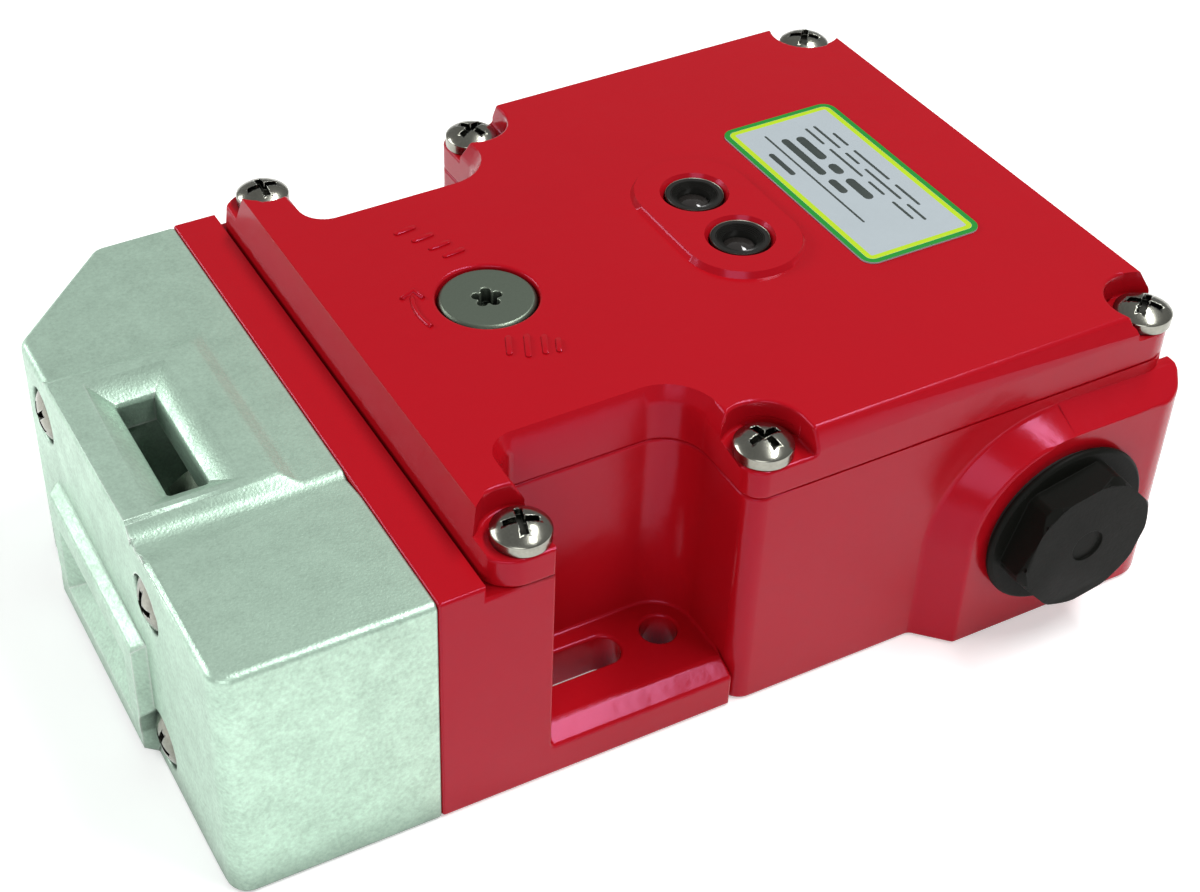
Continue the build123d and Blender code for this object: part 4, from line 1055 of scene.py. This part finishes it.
class SWITCH_OT_lamps(Operator):
    """Dished lamp rings with fine steps, ringed lenses and the board"""
    bl_idname = "guard_switch.lamps"
    bl_label = "Lamps"

    def execute(self, context):
        self.holders()
        self.lenses()
        dress(["lamp_board"], board())
        return {"FINISHED"}

    def holders(self):
        """Black rings whose dish goes down in steps, each with a pale ring round it."""
        low, high = solids_of("lamp_lenses")[0]
        bore = (high.x - low.x) / 2
        pieces = []
        for low, high in solids_of("lamp_holders"):
            radius, top = (high.x - low.x) / 2, high.z - low.z
            middle = foot_of(low, high)
            pieces.append(turned("lamp_holder_part", self.dish(bore, radius, top), lamp_black(), middle))
            trim = [(radius + share * sizes().lamp_ring, top + up) for share, up in TRIM_SECTION]
            add_to("lamp_holders", turned("lamp_trim_ring", trim, satin(), middle))
        stand_for(joined("lamp_holders_finished", pieces), "lamp_holders")

    def dish(self, bore, radius, top):
        """Section of a lamp ring, from its bore round its outside and down the steps of its dish."""
        wide = DISH_SHARE * radius
        section = [(bore, 0), (radius, 0), (radius, top - DISH_CHAMFER), (radius - DISH_CHAMFER, top),
                   (wide, top)]
        for step in range(1, DISH_STEPS + 1):
            inner = wide + (bore - wide) * step / DISH_STEPS
            level = top - DISH_DEPTH * step / DISH_STEPS
            section += [(inner + STEP_TREAD, level + STEP_FALL), (inner, level + STEP_LIP)]
        return section + [(bore, top - DISH_DEPTH), (bore, 0)]

    def lenses(self):
        """Low domes with fine rings."""
        pieces = []
        for low, high in solids_of("lamp_lenses"):
            radius, top = (high.x - low.x) / 2, high.z - low.z
            profile = [(0, top)]
            for ring in range(1, LENS_RINGS + 1):
                out = ring / LENS_RINGS
                level = top - LENS_DOME * out ** 2
                profile += [(radius * out - inwards, level + up) for inwards, up in LENS_RING_SECTION]
            profile += [(radius, top - LENS_SHOULDER), (radius, 0), (0, 0)]
            pieces.append(turned("lamp_lens_part", profile, lens(), foot_of(low, high)))
        stand_for(joined("lamp_lenses_finished", pieces), "lamp_lenses")


class SWITCH_OT_label(Operator):
    """Foil label with a double line round it and plain bars"""
    bl_idname = "guard_switch.label"
    bl_label = "Label"

    def execute(self, context):
        rounded("label", foil(), LABEL_EDGE)
        low, high = box_of("label")
        self.lines(low, high)
        self.print_rows(low, high)
        return {"FINISHED"}

    def lines(self, low, high):
        """Two coloured lines that follow the plate's edge."""
        width = sizes().rim_width
        for name, inset, material in (("label_outer_line", 0.5 * width, rim_outer()),
                                      ("label_inner_line", 1.5 * width, rim_inner())):
            radius = max(LABEL_CORNER - inset, LABEL_LEAST_BEND)
            margin = inset + radius
            corners = ((high.x - margin, low.y + margin, -90), (high.x - margin, high.y - margin, 0),
                       (low.x + margin, high.y - margin, 90), (low.x + margin, low.y + margin, 180))
            points = []
            for x, y, start in corners:
                points += arc_points((x, y, high.z - PRINT_SINK), radius, start, start + 90,
                                     LABEL_CORNER_STEPS)
            add_to("label", ribbon(name, points, width, sizes().print_height, material, closed=True))

    def print_rows(self, low, high):
        """Rows of plain dark bars in place of lettering."""
        places = []
        for x, width, dashes in PRINT_ROWS:
            for start, long_side in dashes:
                centre = (low.x + x * MM, high.y - (start + long_side / 2) * MM, high.z - PRINT_SINK)
                places.append((centre, long_side * MM, width * MM, pi / 2))
        add_to("label", bars("label_bars", places, sizes().print_height, ink()))


class SWITCH_OT_plugs(Operator):
    """Hexagon blanking plugs and their washers"""
    bl_idname = "guard_switch.plugs"
    bl_label = "Blanking plugs"

    def execute(self, context):
        rounded_finely("conduit_plugs", black())
        dress(["plug_washers"], rubber())
        return {"FINISHED"}


class SWITCH_OT_mechanism(Operator):
    """Cam, plunger, springs, lock and solenoid"""
    bl_idname = "guard_switch.mechanism"
    bl_label = "Mechanism"

    def execute(self, context):
        dress(["cam_rotor", "axle_keepers", "lock_plate", "solenoid_frame"], plated())
        dress(["cam_axle", "plunger_rod", "lock_bolt", "armature", "plunger_spring", "armature_spring",
               "solenoid_screws"], ground())
        dress(["guide_bush"], bronze())
        dress(["coil_bobbin"], cream())
        self.winding()
        return {"FINISHED"}

    def winding(self):
        """Winding whose outside shows its turns."""
        low, high = box_of("coil_winding")
        core_low, core_high = box_of("armature")
        outer, reach, wire = (high.x - low.x) / 2, high.y - low.y, sizes().wire
        inner = (core_high.x - core_low.x) / 2 + BOBBIN_WALL
        turns = int(reach / wire)
        profile = [(inner, 0)]
        for turn in range(turns):
            profile += [(outer - drop * wire, (turn + along) * reach / turns) for along, drop in WIRE_SECTION]
        profile += [(inner, reach), (inner, 0)]
        middle = ((low.x + high.x) / 2, low.y, (low.z + high.z) / 2)
        stand_for(turned("coil_winding_finished", profile, copper(), middle, (0, 1, 0)), "coil_winding")


class SWITCH_OT_contacts(Operator):
    """Contact block, slider, contacts and terminals"""
    bl_idname = "guard_switch.contacts"
    bl_label = "Contacts"

    def execute(self, context):
        dress(["contact_block", "contact_carrier"], cream())
        dress(["contact_bridges", "fixed_contacts", "earth_screw"], brass())
        dress(["terminal_screws", "block_screws"], plated())
        return {"FINISHED"}


class SWITCH_OT_stage(Operator):
    """Floor, surroundings, lamps and camera"""
    bl_idname = "guard_switch.stage"
    bl_label = "Stage"

    def execute(self, context):
        studio = context.scene.switch_studio
        context.scene.view_settings.view_transform = "Standard"
        self.world(studio)
        self.floor(studio)
        self.lamps(studio)
        self.camera(studio)
        return {"FINISHED"}

    def world(self, studio):
        """Plain pale surroundings."""
        world = bpy.data.worlds.new("Studio")
        bpy.context.scene.world = world
        world.use_nodes = True
        background = world.node_tree.nodes["Background"]
        background.inputs["Color"].default_value = (1, 1, 1, 1)
        background.inputs["Strength"].default_value = studio.surround

    def floor(self, studio):
        """Wide floor that keeps the switch's shadow."""
        work = bmesh.new()
        bmesh.ops.create_grid(work, x_segments=FLOOR_SQUARES, y_segments=FLOOR_SQUARES, size=FLOOR_REACH)
        floor = new_object("floor", mesh_from("floor", work), self.floor_white(studio))
        floor.location.z = -FLOOR_GAP

    def floor_white(self, studio):
        """Matt white that shows whiter to the camera and in reflections, and more so further off."""
        material = bpy.data.materials.new("Floor")
        material.use_nodes = True
        nodes, links = material.node_tree.nodes, material.node_tree.links
        shader = nodes["Principled BSDF"]
        shader.inputs["Base Color"].default_value = (FLOOR_WHITE, FLOOR_WHITE, FLOOR_WHITE, 1)
        shader.inputs["Roughness"].default_value = FLOOR_ROUGHNESS
        shader.inputs["Specular IOR Level"].default_value = 0.0
        path = nodes.new("ShaderNodeLightPath").outputs
        seen = math_node(nodes, links, "MAXIMUM", path["Is Camera Ray"], path["Is Transmission Ray"])
        seen = math_node(nodes, links, "MAXIMUM", seen, path["Is Glossy Ray"])
        far = nodes.new("ShaderNodeVectorMath")
        far.operation = "LENGTH"
        links.new(nodes.new("ShaderNodeTexCoord").outputs["Object"], far.inputs[0])
        rise = nodes.new("ShaderNodeMapRange")
        for key, value in (("From Min", FLOOR_NEAR), ("From Max", FLOOR_FAR),
                           ("To Min", studio.floor_lift), ("To Max", FLOOR_FAR_LIFT)):
            rise.inputs[key].default_value = value
        links.new(far.outputs["Value"], rise.inputs["Value"])
        lift = math_node(nodes, links, "MULTIPLY", seen, rise.outputs[0])
        links.new(lift, shader.inputs["Emission Color"])
        shader.inputs["Emission Strength"].default_value = 1.0
        return material

    def lamps(self, studio):
        """A broad key lamp and two long lamps, all turned towards the switch."""
        for name, place in LAMP_PLACES.items():
            lamp = bpy.data.lights.new(name, "AREA")
            lamp.shape = "RECTANGLE"
            lamp.energy = getattr(studio, name)
            lamp.size, lamp.size_y = LAMP_SIDES[name]
            holder = bpy.data.objects.new(name, lamp)
            holder.location = place
            holder.rotation_euler = (-Vector(place)).to_track_quat("-Z", "Y").to_euler()
            bpy.context.scene.collection.objects.link(holder)

    def camera(self, studio):
        """Camera at the photograph's viewpoint."""
        data = bpy.data.cameras.new("camera")
        data.sensor_width = SENSOR_WIDTH
        data.lens = studio.lens
        data.shift_x, data.shift_y = studio.shift
        data.clip_start = CLIP_START
        camera = bpy.data.objects.new("camera", data)
        camera.location = studio.camera_place
        camera.rotation_euler = Euler(studio.camera_turn, "XYZ")
        bpy.context.scene.collection.objects.link(camera)
        bpy.context.scene.camera = camera


PIECES = (SWITCH_OT_head, SWITCH_OT_base, SWITCH_OT_lid, SWITCH_OT_screws, SWITCH_OT_release, SWITCH_OT_lamps,
          SWITCH_OT_label, SWITCH_OT_plugs, SWITCH_OT_mechanism, SWITCH_OT_contacts, SWITCH_OT_stage)


class SWITCH_PT_panel(Panel):
    """Lists the pieces and their sizes"""
    bl_label = "Guard Switch"
    bl_idname = "SWITCH_PT_panel"
    bl_space_type = "VIEW_3D"
    bl_region_type = "UI"
    bl_category = "Guard Switch"

    def draw(self, context):
        for piece in PIECES:
            self.layout.operator(piece.bl_idname)
        for group in (context.scene.switch_sizes, context.scene.switch_finishes, context.scene.switch_studio):
            for key in group.__annotations__:
                self.layout.prop(group, key)


CLASSES = (SwitchFinishes, SwitchSizes, StudioSettings) + PIECES + (SWITCH_PT_panel,)


def register():
    """Adds the classes and the scene's settings."""
    for item in CLASSES:
        bpy.utils.register_class(item)
    bpy.types.Scene.switch_finishes = PointerProperty(type=SwitchFinishes)
    bpy.types.Scene.switch_sizes = PointerProperty(type=SwitchSizes)
    bpy.types.Scene.switch_studio = PointerProperty(type=StudioSettings)


def unregister():
    """Takes away what register added."""
    del bpy.types.Scene.switch_studio, bpy.types.Scene.switch_sizes, bpy.types.Scene.switch_finishes
    for item in reversed(CLASSES):
        bpy.utils.unregister_class(item)


def run(piece):
    """Calls a piece's operator and raises an error if it can't finish."""
    group, name = piece.bl_idname.split(".")
    if getattr(getattr(bpy.ops, group), name)() != {"FINISHED"}:
        raise RuntimeError(f"{piece.bl_label} wasn't made")


def main():
    """Makes every piece and the stage."""
    register()
    for piece in PIECES:
        run(piece)
    bpy.context.view_layer.update()


if __name__ == "__main__":
    main()
